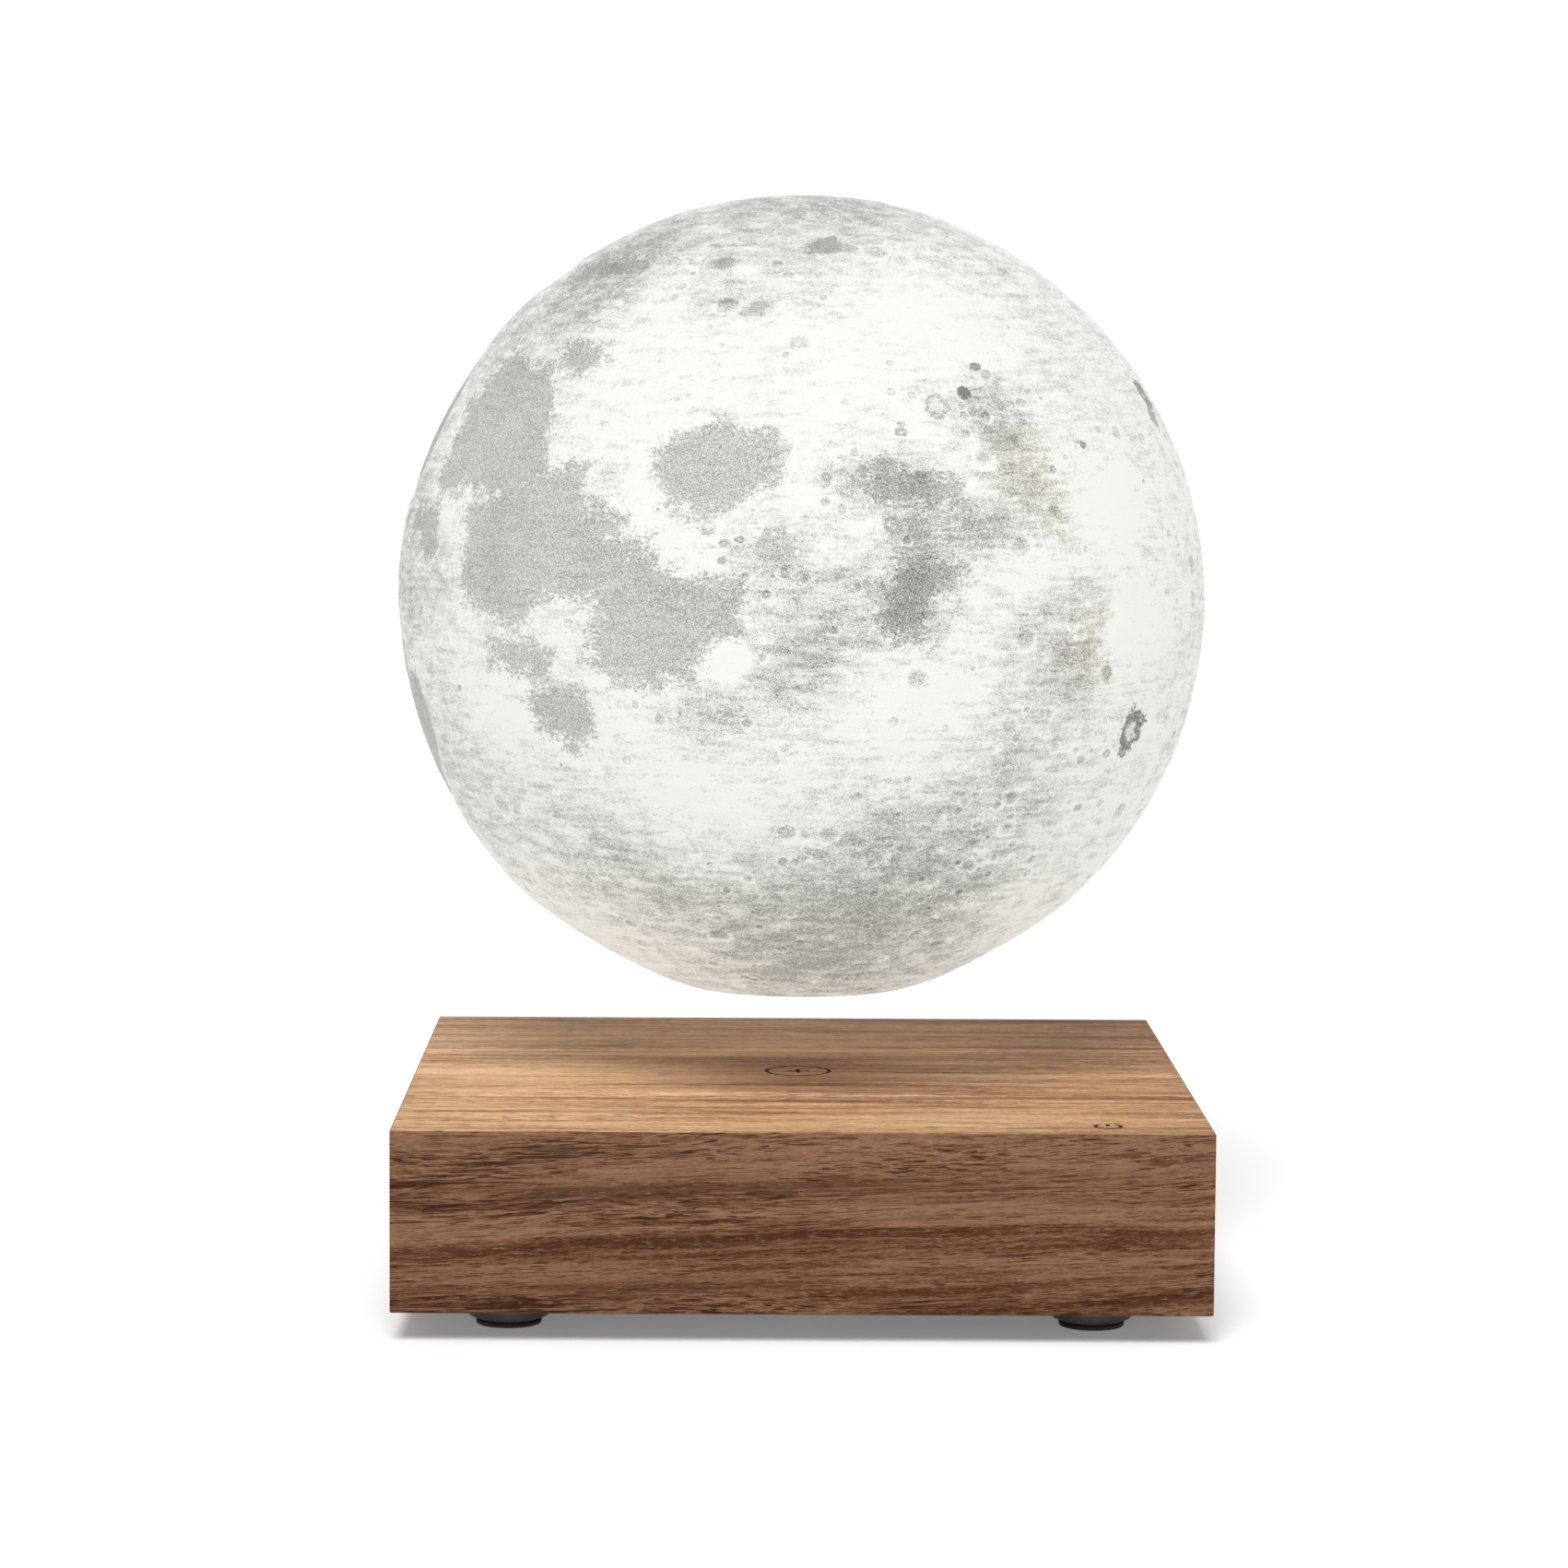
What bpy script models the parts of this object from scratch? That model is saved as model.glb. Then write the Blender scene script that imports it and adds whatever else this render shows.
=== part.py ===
"""A levitating moon lamp: a printed moon that floats over a square walnut box.

The box holds a magnetic lifting module and its power parts. The moon holds the float magnet,
the coil that receives its power, and the light. The floor is at z = 0, the front faces -Y,
and the moon's axis is the Z axis. All sizes are in metres.
"""

import math

import bmesh
import bpy
from mathutils import Euler, Vector

# Fits that the whole lamp shares
CLEARANCE = 0.0003
OVERRUN = 0.001
WELD = 0.00001

# Wooden case
CASE_SIDE = 0.170
CASE_HEIGHT = 0.038
CASE_LIFT = 0.0065
BOARD_THICKNESS = 0.006
TOP_PANEL_THICKNESS = 0.0027
CORNER_BLOCK_SIDE = 0.024
CORNER_BLOCK_CHAMFER = 0.005
COVER_THICKNESS = 0.0025
COVER_RECESS = 0.0005
COVER_CORNER_CUT = 0.002

# Marks engraved in the top panel
MARK_DEPTH = 0.0003
RING_MARK_RADIUS = 0.0075
RING_MARK_LINE = 0.0006
CROSS_MARK_REACH = 0.0022
CROSS_MARK_LINE = 0.0005
POWER_MARK_RADIUS = 0.0029
POWER_MARK_LINE = 0.0006
POWER_MARK_SIDE_INSET = 0.0215
POWER_MARK_FRONT_INSET = 0.009
POWER_MARK_OPENING_DEG = 64

# Feet and their screws
FOOT_INSET = 0.0235
FOOT_PAD_RADIUS = 0.0069
FOOT_PAD_HEIGHT = 0.0009
FOOT_PAD_CHAMFER = 0.0003
FOOT_CUP_TOP_RADIUS = 0.0085
FOOT_CUP_LOW_RADIUS = 0.0068
FOOT_CUP_FLARE_HEIGHT = 0.0009
FOOT_CUP_WEB = 0.0015
FOOT_SCREW_HEAD_RADIUS = 0.0032
FOOT_SCREW_HEAD_HEIGHT = 0.002
FOOT_SCREW_RADIUS = 0.00175
FOOT_SCREW_LENGTH = 0.016
CROSS_SLOT_WIDTH = 0.0009
CROSS_SLOT_DEPTH = 0.0011
SLOT_REACH_SHARE = 0.62

# Lifting module
MODULE_MARGIN = 0.021
MODULE_WALL = 0.002
MODULE_FLOOR = 0.002
MODULE_LUG_RADIUS = 0.0045
MODULE_LUG_OFFSET = 0.0042
MODULE_LUG_HEIGHT = 0.004
MODULE_SCREW_ANGLES_DEG = (45, 135, 270)
MODULE_SCREW_HEAD_RADIUS = 0.0026
MODULE_SCREW_HEAD_HEIGHT = 0.0016
MODULE_SCREW_RADIUS = 0.0013
MODULE_SCREW_SHORTFALL = 0.001
LEAD_NOTCH_WIDTH = 0.005
LEAD_NOTCH_DEPTH = 0.005
RING_MAGNET_WIDTH = 0.018
RING_MAGNET_HEIGHT = 0.010
COIL_BOARD_THICKNESS = 0.0016
COIL_SPREAD = 0.018
BOBBIN_RADIUS = 0.0115
BOBBIN_FLANGE = 0.0012
BOBBIN_TUBE = 0.0012
CORE_RADIUS = 0.003
WINDING_INSET = 0.0006
HALL_BOARD_SIDE = 0.014
HALL_BOARD_THICKNESS = 0.001
HALL_STEM_SIDE = 0.006
HALL_STEM_LENGTH = 0.009
HALL_HEADROOM = 0.0027
CARRIER_THICKNESS = 0.0015
CARRIER_RIB = 0.002
CARRIER_BOSS_RADIUS = 0.005
TRANSMITTER_RADIUS = 0.050
TRANSMITTER_WIDTH = 0.010
TRANSMITTER_HEIGHT = 0.0025
TRANSMITTER_RECESS = 0.0012

# Driver board, its parts and the touch pad
DRIVER_BOARD_WIDTH = 0.015
DRIVER_BOARD_LENGTH = 0.080
DRIVER_BOARD_THICKNESS = 0.0016
DRIVER_BOARD_EDGE_GAP = 0.002
DRIVER_BOARD_LIFT = 0.0027
DRIVER_POST_RADIUS = 0.0018
DRIVER_POST_INSET = 0.0035
END_PLUG_WIDTH = 0.006
END_PLUG_LENGTH = 0.004
END_PLUG_HEIGHT = 0.004
MIDDLE_PLUG_WIDTH = 0.004
MIDDLE_PLUG_LENGTH = 0.008
MIDDLE_PLUG_HEIGHT = 0.005
CAN_RADIUS = 0.0035
CAN_HEIGHT = 0.009
CHIP_SIDE = 0.007
CHIP_HEIGHT = 0.0018
TOUCH_PAD_WIDTH = 0.012
TOUCH_PAD_DEPTH = 0.0085
TOUCH_PAD_THICKNESS = 0.0014

# Power socket in the rear board
SOCKET_HEIGHT = 0.019
SOCKET_FLANGE_RADIUS = 0.007
SOCKET_FLANGE_THICKNESS = 0.0015
SOCKET_BODY_RADIUS = 0.0055
SOCKET_BODY_LENGTH = 0.0145
SOCKET_BORE_RADIUS = 0.0032
SOCKET_BORE_DEPTH = 0.010
SOCKET_PIN_RADIUS = 0.00105
SOCKET_PIN_SETBACK = 0.0015
SOCKET_PIN_TAIL = 0.0025
SOCKET_NUT_RADIUS = 0.0081
SOCKET_NUT_THICKNESS = 0.0022

# Leads inside the case
DC_LEAD_RADIUS = 0.0014
TOUCH_LEAD_RADIUS = 0.0006
MODULE_LEAD_RADIUS = 0.0012
LEAD_LANE = 0.0045
LEAD_CLIMB = 0.0024
LEAD_CORNER = 0.006
LEAD_DIP = 0.0008
LANDING_RISE_SHARE = 0.15

# Where two leads turn round the module, as angles on the lane with the share of the fall done there
DC_FALL_SHARES = ((100, 0.0), (111, 0.15), (122, 0.35), (132, 0.6))
TOUCH_FALL_SHARES = ((-50, 0.3), (-70, 0.42), (-90, 0.52), (-110, 0.62), (-128, 0.75))

# Moon shell and its opening
HOVER_GAP = 0.020
MOON_RADIUS = 0.0888
SHELL_WALL = 0.0015
MOUTH_RADIUS = 0.025
SEA_DEPTH = 0.0005
SEA_EDGE_SHARE = 1.25
SEA_SLOPE_SHARE = 0.5

# Cap, collar and float magnet
CAP_FLOOR = 0.0015
CAP_WALL = 0.0014
COLLAR_LIP = 0.0005
COLLAR_FLANGE = 0.006
BAYONET_TAB_REACH = 0.0022
BAYONET_TAB_HEIGHT = 0.0018
BAYONET_TAB_DEG = 30
BAYONET_PLAY_DEG = 4
BAYONET_ANGLES_DEG = (0, 120, 240)
BAYONET_LOCKING_TURN_DEG = 60
SPANNER_HOLE_RADIUS = 0.0016
SPANNER_HOLE_DEPTH = 0.0008
SPANNER_HOLE_PLACE = 0.0165
RECEIVER_COIL_WIDTH = 0.0036
RECEIVER_COIL_HEIGHT = 0.004
FLOAT_MAGNET_HEIGHT = 0.010
FLOAT_MAGNET_CHAMFER = 0.0006

# Light inside the moon
HEAT_SINK_THICKNESS = 0.002
HEAT_SINK_NOTCH = 0.0016
LED_BOARD_THICKNESS = 0.0012
LED_SIDE = 0.003
LED_HEIGHT = 0.0007
LED_CIRCLE_RADIUS = 0.0105
DOME_RADIUS = 0.019
DOME_WALL = 0.0012

# Counts of facets and of repeated shapes
MOON_FACETS = 48
MOON_RINGS = 26
MOON_INNER_RINGS = 9
LARGE_ROUND_FACETS = 32
SMALL_ROUND_FACETS = 18
INNER_ROUND_FACETS = 12
FINE_ROUND_FACETS = 10
HEXAGON_SIDES = 6
TAB_FACETS = 5
POWER_MARK_FACETS = 18
HEAT_SINK_NOTCHES = 18
STEPS_PER_NOTCH = 4
LED_COUNT = 6
DOME_RINGS = 5
LEAD_SIDES = 2
LEAD_STEPS = 2
SMOOTH_ANGLE_DEG = 35

# The moon's map: how the globe is turned, and its seas as latitude, longitude and radius in degrees
GLOBE_TURN_DEG = (4.28, 1.19, -162.4)
SEAS_DEG = {
    "round sea of the east": (17.0, 59.1, 9.2),
    "sea at the east edge": (-1.7, 87.1, 6.6),
    "sea north of the east edge": (13.3, 86.1, 6.0),
    "far north east sea": (56.8, 81.5, 4.5),
    "small south sea": (-15.2, 35.5, 6.0),
    "round sea of the north": (28.0, 17.5, 11.0),
    "middle sea": (8.5, 31.4, 13.5),
    "fertile sea, north half": (-3.5, 52.0, 9.0),
    "fertile sea, south half": (-13.5, 50.5, 7.0),
    "far side north sea": (27.3, 147.9, 4.6),
    "far side dark crater": (-20.4, 129.1, 3.4),
    "great north west sea": (33.0, -16.0, 18.5),
    "west middle sea": (-21.0, -16.6, 11.0),
    "west small sea": (-10.0, -23.1, 7.0),
    "south west round sea": (-24.4, -38.6, 6.5),
    "western ocean, north half": (32.0, -55.0, 15.0),
    "western ocean, south half": (5.0, -52.0, 18.0),
    "central small sea": (13.3, 3.6, 4.5),
    "north strait, east half": (56.0, 25.0, 6.0),
    "north strait, west half": (57.0, -12.0, 7.0),
    "western ring sea": (-19.4, -92.8, 5.5),
    "far side south sea": (-33.7, 163.5, 4.8),
    "southern sea": (-43.0, 93.0, 9.0),
}

# Heights and half widths that follow from the sizes above
case_half = CASE_SIDE / 2
case_bottom = CASE_LIFT
case_top = case_bottom + CASE_HEIGHT
cavity_half = case_half - BOARD_THICKNESS
panel_bottom = case_top - TOP_PANEL_THICKNESS
cover_bottom = case_bottom + COVER_RECESS
cover_top = cover_bottom + COVER_THICKNESS
inside_floor = cover_top + CLEARANCE
block_outer = cavity_half - CLEARANCE
block_top = panel_bottom - TOUCH_PAD_THICKNESS - 2 * CLEARANCE
foot_place = case_half - FOOT_INSET

cup_bottom = FOOT_PAD_HEIGHT + CLEARANCE
cup_top = cover_bottom - CLEARANCE
foot_screw_seat = cup_top - FOOT_CUP_WEB - CLEARANCE
foot_screw_end = foot_screw_seat + FOOT_SCREW_LENGTH

module_radius = cavity_half - MODULE_MARGIN
module_inner_radius = module_radius - MODULE_WALL
module_floor_top = inside_floor + MODULE_FLOOR
module_parts_floor = module_floor_top + CLEARANCE
module_screw_place = module_radius + MODULE_LUG_OFFSET
module_lug_top = inside_floor + MODULE_LUG_HEIGHT
rib_top = panel_bottom - CLEARANCE
transmitter_top = rib_top - TRANSMITTER_RECESS
transmitter_bottom = transmitter_top - TRANSMITTER_HEIGHT
carrier_top = transmitter_bottom - CLEARANCE
carrier_bottom = carrier_top - CARRIER_THICKNESS
module_rim = carrier_bottom - CLEARANCE
hall_board_top = carrier_bottom - HALL_HEADROOM
hall_board_bottom = hall_board_top - HALL_BOARD_THICKNESS
bobbin_top = hall_board_bottom - CLEARANCE
coil_board_top = module_parts_floor + COIL_BOARD_THICKNESS
bobbin_bottom = coil_board_top + CLEARANCE
ring_magnet_outer = module_inner_radius - CLEARANCE
ring_magnet_inner = ring_magnet_outer - RING_MAGNET_WIDTH
coil_board_radius = ring_magnet_inner - CLEARANCE
bobbin_tube_inner = CORE_RADIUS + CLEARANCE
bobbin_tube_outer = bobbin_tube_inner + BOBBIN_TUBE

driver_board_outer = cavity_half - DRIVER_BOARD_EDGE_GAP
driver_board_inner = driver_board_outer - DRIVER_BOARD_WIDTH
driver_board_middle = (driver_board_outer + driver_board_inner) / 2
driver_board_end = DRIVER_BOARD_LENGTH / 2
driver_board_bottom = inside_floor + DRIVER_BOARD_LIFT
driver_board_top = driver_board_bottom + DRIVER_BOARD_THICKNESS
end_plug_face = driver_board_end - CLEARANCE
end_plug_middle = driver_board_top + END_PLUG_HEIGHT / 2
middle_plug_place = driver_board_inner + MIDDLE_PLUG_WIDTH / 2 + CLEARANCE

power_mark_x = case_half - POWER_MARK_SIDE_INSET
power_mark_y = POWER_MARK_FRONT_INSET - case_half
touch_pad_bottom = block_top + CLEARANCE
touch_pad_top = touch_pad_bottom + TOUCH_PAD_THICKNESS

socket_height = case_bottom + SOCKET_HEIGHT
socket_seat = case_half - SOCKET_FLANGE_THICKNESS
socket_back = case_half - SOCKET_BODY_LENGTH
pin_back = socket_back - SOCKET_PIN_TAIL
nut_face = cavity_half - CLEARANCE
lane_radius = module_radius + LEAD_LANE

cap_bottom = case_top + HOVER_GAP
moon_centre = cap_bottom + math.sqrt(MOON_RADIUS**2 - MOUTH_RADIUS**2)
shell_inner_radius = MOON_RADIUS - SHELL_WALL
cap_radius = MOUTH_RADIUS - CLEARANCE
cap_floor_top = cap_bottom + CAP_FLOOR
collar_inner = MOUTH_RADIUS - COLLAR_LIP
collar_outer = MOUTH_RADIUS + COLLAR_FLANGE
cap_wall_outer = collar_inner - CLEARANCE
cap_wall_inner = cap_wall_outer - CAP_WALL
magnet_bottom = cap_floor_top + CLEARANCE
magnet_top = magnet_bottom + FLOAT_MAGNET_HEIGHT
cap_wall_top = magnet_top
tab_bottom = cap_wall_top - BAYONET_TAB_HEIGHT
collar_top = tab_bottom - CLEARANCE
receiver_outer = cap_wall_inner - CLEARANCE
receiver_inner = receiver_outer - RECEIVER_COIL_WIDTH
magnet_radius = receiver_inner - CLEARANCE
heat_sink_bottom = cap_wall_top + CLEARANCE
heat_sink_top = heat_sink_bottom + HEAT_SINK_THICKNESS
light_floor = heat_sink_top + CLEARANCE
dome_inner = DOME_RADIUS - DOME_WALL
led_board_radius = dome_inner - CLEARANCE


# Shapes

def turned(profile, facets=SMALL_ROUND_FACETS):
    """A profile of (radius, height) points spun round Z. It closes on itself or ends on the axis."""
    shape = bmesh.new()
    points = [shape.verts.new((radius, 0, height)) for radius, height in profile]
    edges = [shape.edges.new(pair) for pair in zip(points, points[1:])]
    if profile[0][0] > 0:
        edges.append(shape.edges.new((points[-1], points[0])))
    bmesh.ops.spin(
        shape, geom=points + edges, cent=(0, 0, 0), axis=(0, 0, 1),
        angle=math.tau, steps=facets, use_merge=True,
    )
    bmesh.ops.remove_doubles(shape, verts=shape.verts, dist=WELD)
    bmesh.ops.recalc_face_normals(shape, faces=shape.faces)
    return shape


def disc(radius, bottom, top, facets=SMALL_ROUND_FACETS):
    """A plain round slab."""
    return turned([(0, bottom), (radius, bottom), (radius, top), (0, top)], facets)


def ring(inner, outer, bottom, top, facets=SMALL_ROUND_FACETS):
    """A plain round tube."""
    return turned([(inner, bottom), (outer, bottom), (outer, top), (inner, top)], facets)


def slab(outline, bottom, top):
    """A flat outline of (x, y) points, extruded upwards."""
    shape = bmesh.new()
    face = shape.faces.new([shape.verts.new((x, y, bottom)) for x, y in outline])
    raised = bmesh.ops.extrude_face_region(shape, geom=[face])["geom"]
    risen = [item for item in raised if isinstance(item, bmesh.types.BMVert)]
    bmesh.ops.translate(shape, vec=(0, 0, top - bottom), verts=risen)
    bmesh.ops.recalc_face_normals(shape, faces=shape.faces)
    return shape


def block(low, high):
    """A box between two corners."""
    outline = [(low[0], low[1]), (high[0], low[1]), (high[0], high[1]), (low[0], high[1])]
    return slab(outline, low[2], high[2])


def sector(inner, outer, bottom, top, start_deg, sweep_deg, facets):
    """A slice of a round tube."""
    steps = [math.radians(start_deg + sweep_deg * step / facets) for step in range(facets + 1)]
    outline = [(outer * math.cos(turn), outer * math.sin(turn)) for turn in steps]
    outline += [(inner * math.cos(turn), inner * math.sin(turn)) for turn in reversed(steps)]
    return slab(outline, bottom, top)


def cross(reach, width, bottom, top):
    """An upright cross, for a slot or a mark."""
    half = width / 2
    quarter = [(reach, -half), (reach, half), (half, half)]
    outline = []
    for turn in range(4):
        cosine, sine = math.cos(turn * math.pi / 2), math.sin(turn * math.pi / 2)
        outline += [(x * cosine - y * sine, x * sine + y * cosine) for x, y in quarter]
    return slab(outline, bottom, top)


def gathered(shapes):
    """Several separate shapes in one mesh."""
    whole = bmesh.new()
    for shape in shapes:
        mesh = bpy.data.meshes.new("part")
        shape.to_mesh(mesh)
        shape.free()
        whole.from_mesh(mesh)
        bpy.data.meshes.remove(mesh)
    return whole


def moved(shape, x, y, z=0):
    """The same shape in another place."""
    bmesh.ops.translate(shape, vec=(x, y, z), verts=shape.verts)
    return shape


def facing_back(shape):
    """A shape made along +Z, laid down so that its top points to +Y."""
    turn = Euler((-math.pi / 2, 0, 0)).to_matrix()
    bmesh.ops.rotate(shape, cent=(0, 0, 0), matrix=turn, verts=shape.verts)
    return shape


# Pieces and materials

def finish(name, colour, roughness, metallic=0.0):
    """The material of one finish, made once."""
    material = bpy.data.materials.get(name)
    if material is None:
        material = bpy.data.materials.new(name)
        material.use_nodes = True
        shader = material.node_tree.nodes["Principled BSDF"]
        shader.inputs["Base Color"].default_value = (*colour, 1.0)
        shader.inputs["Roughness"].default_value = roughness
        shader.inputs["Metallic"].default_value = metallic
    return material


def walnut():
    return finish("walnut", (0.24, 0.13, 0.075), 0.5)


def black_plastic():
    return finish("black_plastic", (0.045, 0.038, 0.032), 0.45)


def white_print():
    return finish("white_print", (0.86, 0.86, 0.83), 0.75)


def circuit_green():
    return finish("circuit_green", (0.02, 0.12, 0.05), 0.4)


def copper_wire():
    return finish("copper_wire", (0.55, 0.22, 0.09), 0.35, 0.9)


def bare_steel():
    return finish("bare_steel", (0.55, 0.55, 0.55), 0.3, 1.0)


def dark_ferrite():
    return finish("dark_ferrite", (0.06, 0.06, 0.065), 0.6)


def mesh_of(shape, name):
    """The finished mesh of a shape, smooth where it is round."""
    mesh = bpy.data.meshes.new(name)
    shape.to_mesh(mesh)
    shape.free()
    mesh.shade_smooth()
    mesh.set_sharp_from_angle(angle=math.radians(SMOOTH_ANGLE_DEG))
    return mesh


def piece(name, shape, material, location=(0, 0, 0), turn=0.0):
    """One named piece of the lamp, from a shape or from a mesh that copies share."""
    mesh = shape if isinstance(shape, bpy.types.Mesh) else mesh_of(shape, name)
    if not mesh.materials:
        mesh.materials.append(material)
    made = bpy.data.objects.new(name, mesh)
    made.location = location
    made.rotation_euler = (0, 0, turn)
    bpy.context.collection.objects.link(made)
    return made


def shaped(made, operation, name, shape):
    """A helper shape that a piece is cut by, or that is joined onto it."""
    helper = bpy.data.objects.new(name, mesh_of(shape, name))
    helper.hide_render = True
    helper.display_type = "WIRE"
    bpy.context.collection.objects.link(helper)
    modifier = made.modifiers.new(name, "BOOLEAN")
    modifier.operation = operation
    modifier.solver = "EXACT"
    modifier.object = helper


def cut(made, name, shape):
    shaped(made, "DIFFERENCE", name, shape)


def join(made, name, shape):
    shaped(made, "UNION", name, shape)


def corners():
    """The signs of the four corners, front left first and then anticlockwise."""
    return ((-1, -1), (1, -1), (1, 1), (-1, 1))


def screw(head_radius, head_height, radius, length):
    """A cross slot screw that points up, with the top of its head's seat at zero."""
    profile = [(0, -head_height), (head_radius, -head_height), (head_radius, 0),
               (radius, 0), (radius, length - radius), (radius / 2, length), (0, length)]
    return turned(profile, FINE_ROUND_FACETS)


def screw_slot(head_radius, head_height):
    """The cutter of a screw's cross slot."""
    slot_floor = CROSS_SLOT_DEPTH - head_height
    return cross(head_radius * SLOT_REACH_SHARE, CROSS_SLOT_WIDTH, -head_height - OVERRUN, slot_floor)


# Wooden case

def make_board(name, turn):
    """A side board with mitred ends, whose top edge is cut to carry the top panel's mitre."""
    mitre = TOP_PANEL_THICKNESS + CLEARANCE
    end_relief = CLEARANCE / math.sqrt(2)
    profile = [(0, case_bottom), (0, case_top), (mitre, case_top - mitre),
               (BOARD_THICKNESS, case_top - mitre), (BOARD_THICKNESS, case_bottom)]
    shape = bmesh.new()
    ends = [
        [shape.verts.new((side * (case_half - depth - end_relief), depth - case_half, height))
         for depth, height in profile]
        for side in (-1, 1)
    ]
    for loop in ends:
        shape.faces.new(loop)
    for step in range(len(profile)):
        after = (step + 1) % len(profile)
        shape.faces.new((ends[0][step], ends[0][after], ends[1][after], ends[1][step]))
    bmesh.ops.recalc_face_normals(shape, faces=shape.faces)
    return piece(name, shape, walnut(), turn=turn)


def make_boards():
    make_board("front_board", 0)
    make_board("right_board", math.pi / 2)
    make_board("left_board", -math.pi / 2)
    rear = make_board("rear_board", math.pi)
    seat_depth = SOCKET_FLANGE_THICKNESS + CLEARANCE
    hole_radius = SOCKET_BODY_RADIUS + CLEARANCE
    seat_radius = SOCKET_FLANGE_RADIUS + CLEARANCE
    profile = [(0, cavity_half - OVERRUN), (hole_radius, cavity_half - OVERRUN),
               (hole_radius, case_half - seat_depth), (seat_radius, case_half - seat_depth),
               (seat_radius, case_half + OVERRUN), (0, case_half + OVERRUN)]
    cut(rear, "socket_hole", moved(facing_back(turned(profile)), 0, 0, socket_height))


def make_top_panel():
    """The top board, mitred down to its underside, with the two engraved marks."""
    shape = bmesh.new()
    edge_relief = CLEARANCE * math.sqrt(2)
    levels = []
    for height in (panel_bottom, case_top):
        half = case_half - (case_top - height) - edge_relief
        levels.append([shape.verts.new((x * half, y * half, height)) for x, y in corners()])
    shape.faces.new(levels[0])
    shape.faces.new(levels[1])
    for step in range(len(levels[0])):
        after = (step + 1) % len(levels[0])
        shape.faces.new((levels[0][step], levels[0][after], levels[1][after], levels[1][step]))
    bmesh.ops.recalc_face_normals(shape, faces=shape.faces)
    panel = piece("top_panel", shape, walnut())

    groove_floor, groove_top = case_top - MARK_DEPTH, case_top + OVERRUN
    ring_line = ring(RING_MARK_RADIUS - RING_MARK_LINE, RING_MARK_RADIUS,
                     groove_floor, groove_top, LARGE_ROUND_FACETS)
    cross_line = cross(CROSS_MARK_REACH, CROSS_MARK_LINE, groove_floor, groove_top)
    cut(panel, "centre_mark", gathered([ring_line, cross_line]))

    arc = sector(POWER_MARK_RADIUS - POWER_MARK_LINE, POWER_MARK_RADIUS, groove_floor, groove_top,
                 90 + POWER_MARK_OPENING_DEG / 2, 360 - POWER_MARK_OPENING_DEG, POWER_MARK_FACETS)
    half_line = POWER_MARK_LINE / 2
    bar = block((-half_line, 0, groove_floor), (half_line, POWER_MARK_RADIUS, groove_top))
    cut(panel, "power_mark", moved(gathered([arc, bar]), power_mark_x, power_mark_y))


def make_corner_blocks():
    """The glue blocks inside the corners, drilled for the foot screws."""
    inner = block_outer - CORNER_BLOCK_SIDE
    past_chamfer = inner + CORNER_BLOCK_CHAMFER
    outline = [(past_chamfer, inner), (block_outer, inner), (block_outer, block_outer),
               (inner, block_outer), (inner, past_chamfer)]
    hole_radius = FOOT_SCREW_RADIUS + CLEARANCE
    for number, (x, y) in enumerate(corners(), 1):
        placed = [(x * along, y * across) for along, across in outline]
        made = piece(f"corner_block_{number}", slab(placed, inside_floor, block_top), walnut())
        hole = disc(hole_radius, inside_floor - OVERRUN, foot_screw_end + OVERRUN, FINE_ROUND_FACETS)
        cut(made, f"block_hole_{number}", moved(hole, x * foot_place, y * foot_place))


def make_bottom_cover():
    """The board that closes the box from below."""
    half = cavity_half - CLEARANCE
    short = half - COVER_CORNER_CUT
    outline = []
    for turn, (x, y) in enumerate(corners()):
        pair = [(x * short, y * half), (x * half, y * short)]
        outline += pair if turn % 2 else pair[::-1]
    made = piece("bottom_cover", slab(outline, cover_bottom, cover_top), black_plastic())
    low, high = cover_bottom - OVERRUN, cover_top + OVERRUN
    holes = [
        moved(disc(FOOT_SCREW_RADIUS + CLEARANCE, low, high, FINE_ROUND_FACETS),
              x * foot_place, y * foot_place)
        for x, y in corners()
    ]
    holes += [
        moved(disc(MODULE_SCREW_RADIUS + CLEARANCE, low, high, FINE_ROUND_FACETS), *place)
        for place in module_screw_places()
    ]
    cut(made, "cover_holes", gathered(holes))


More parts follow.
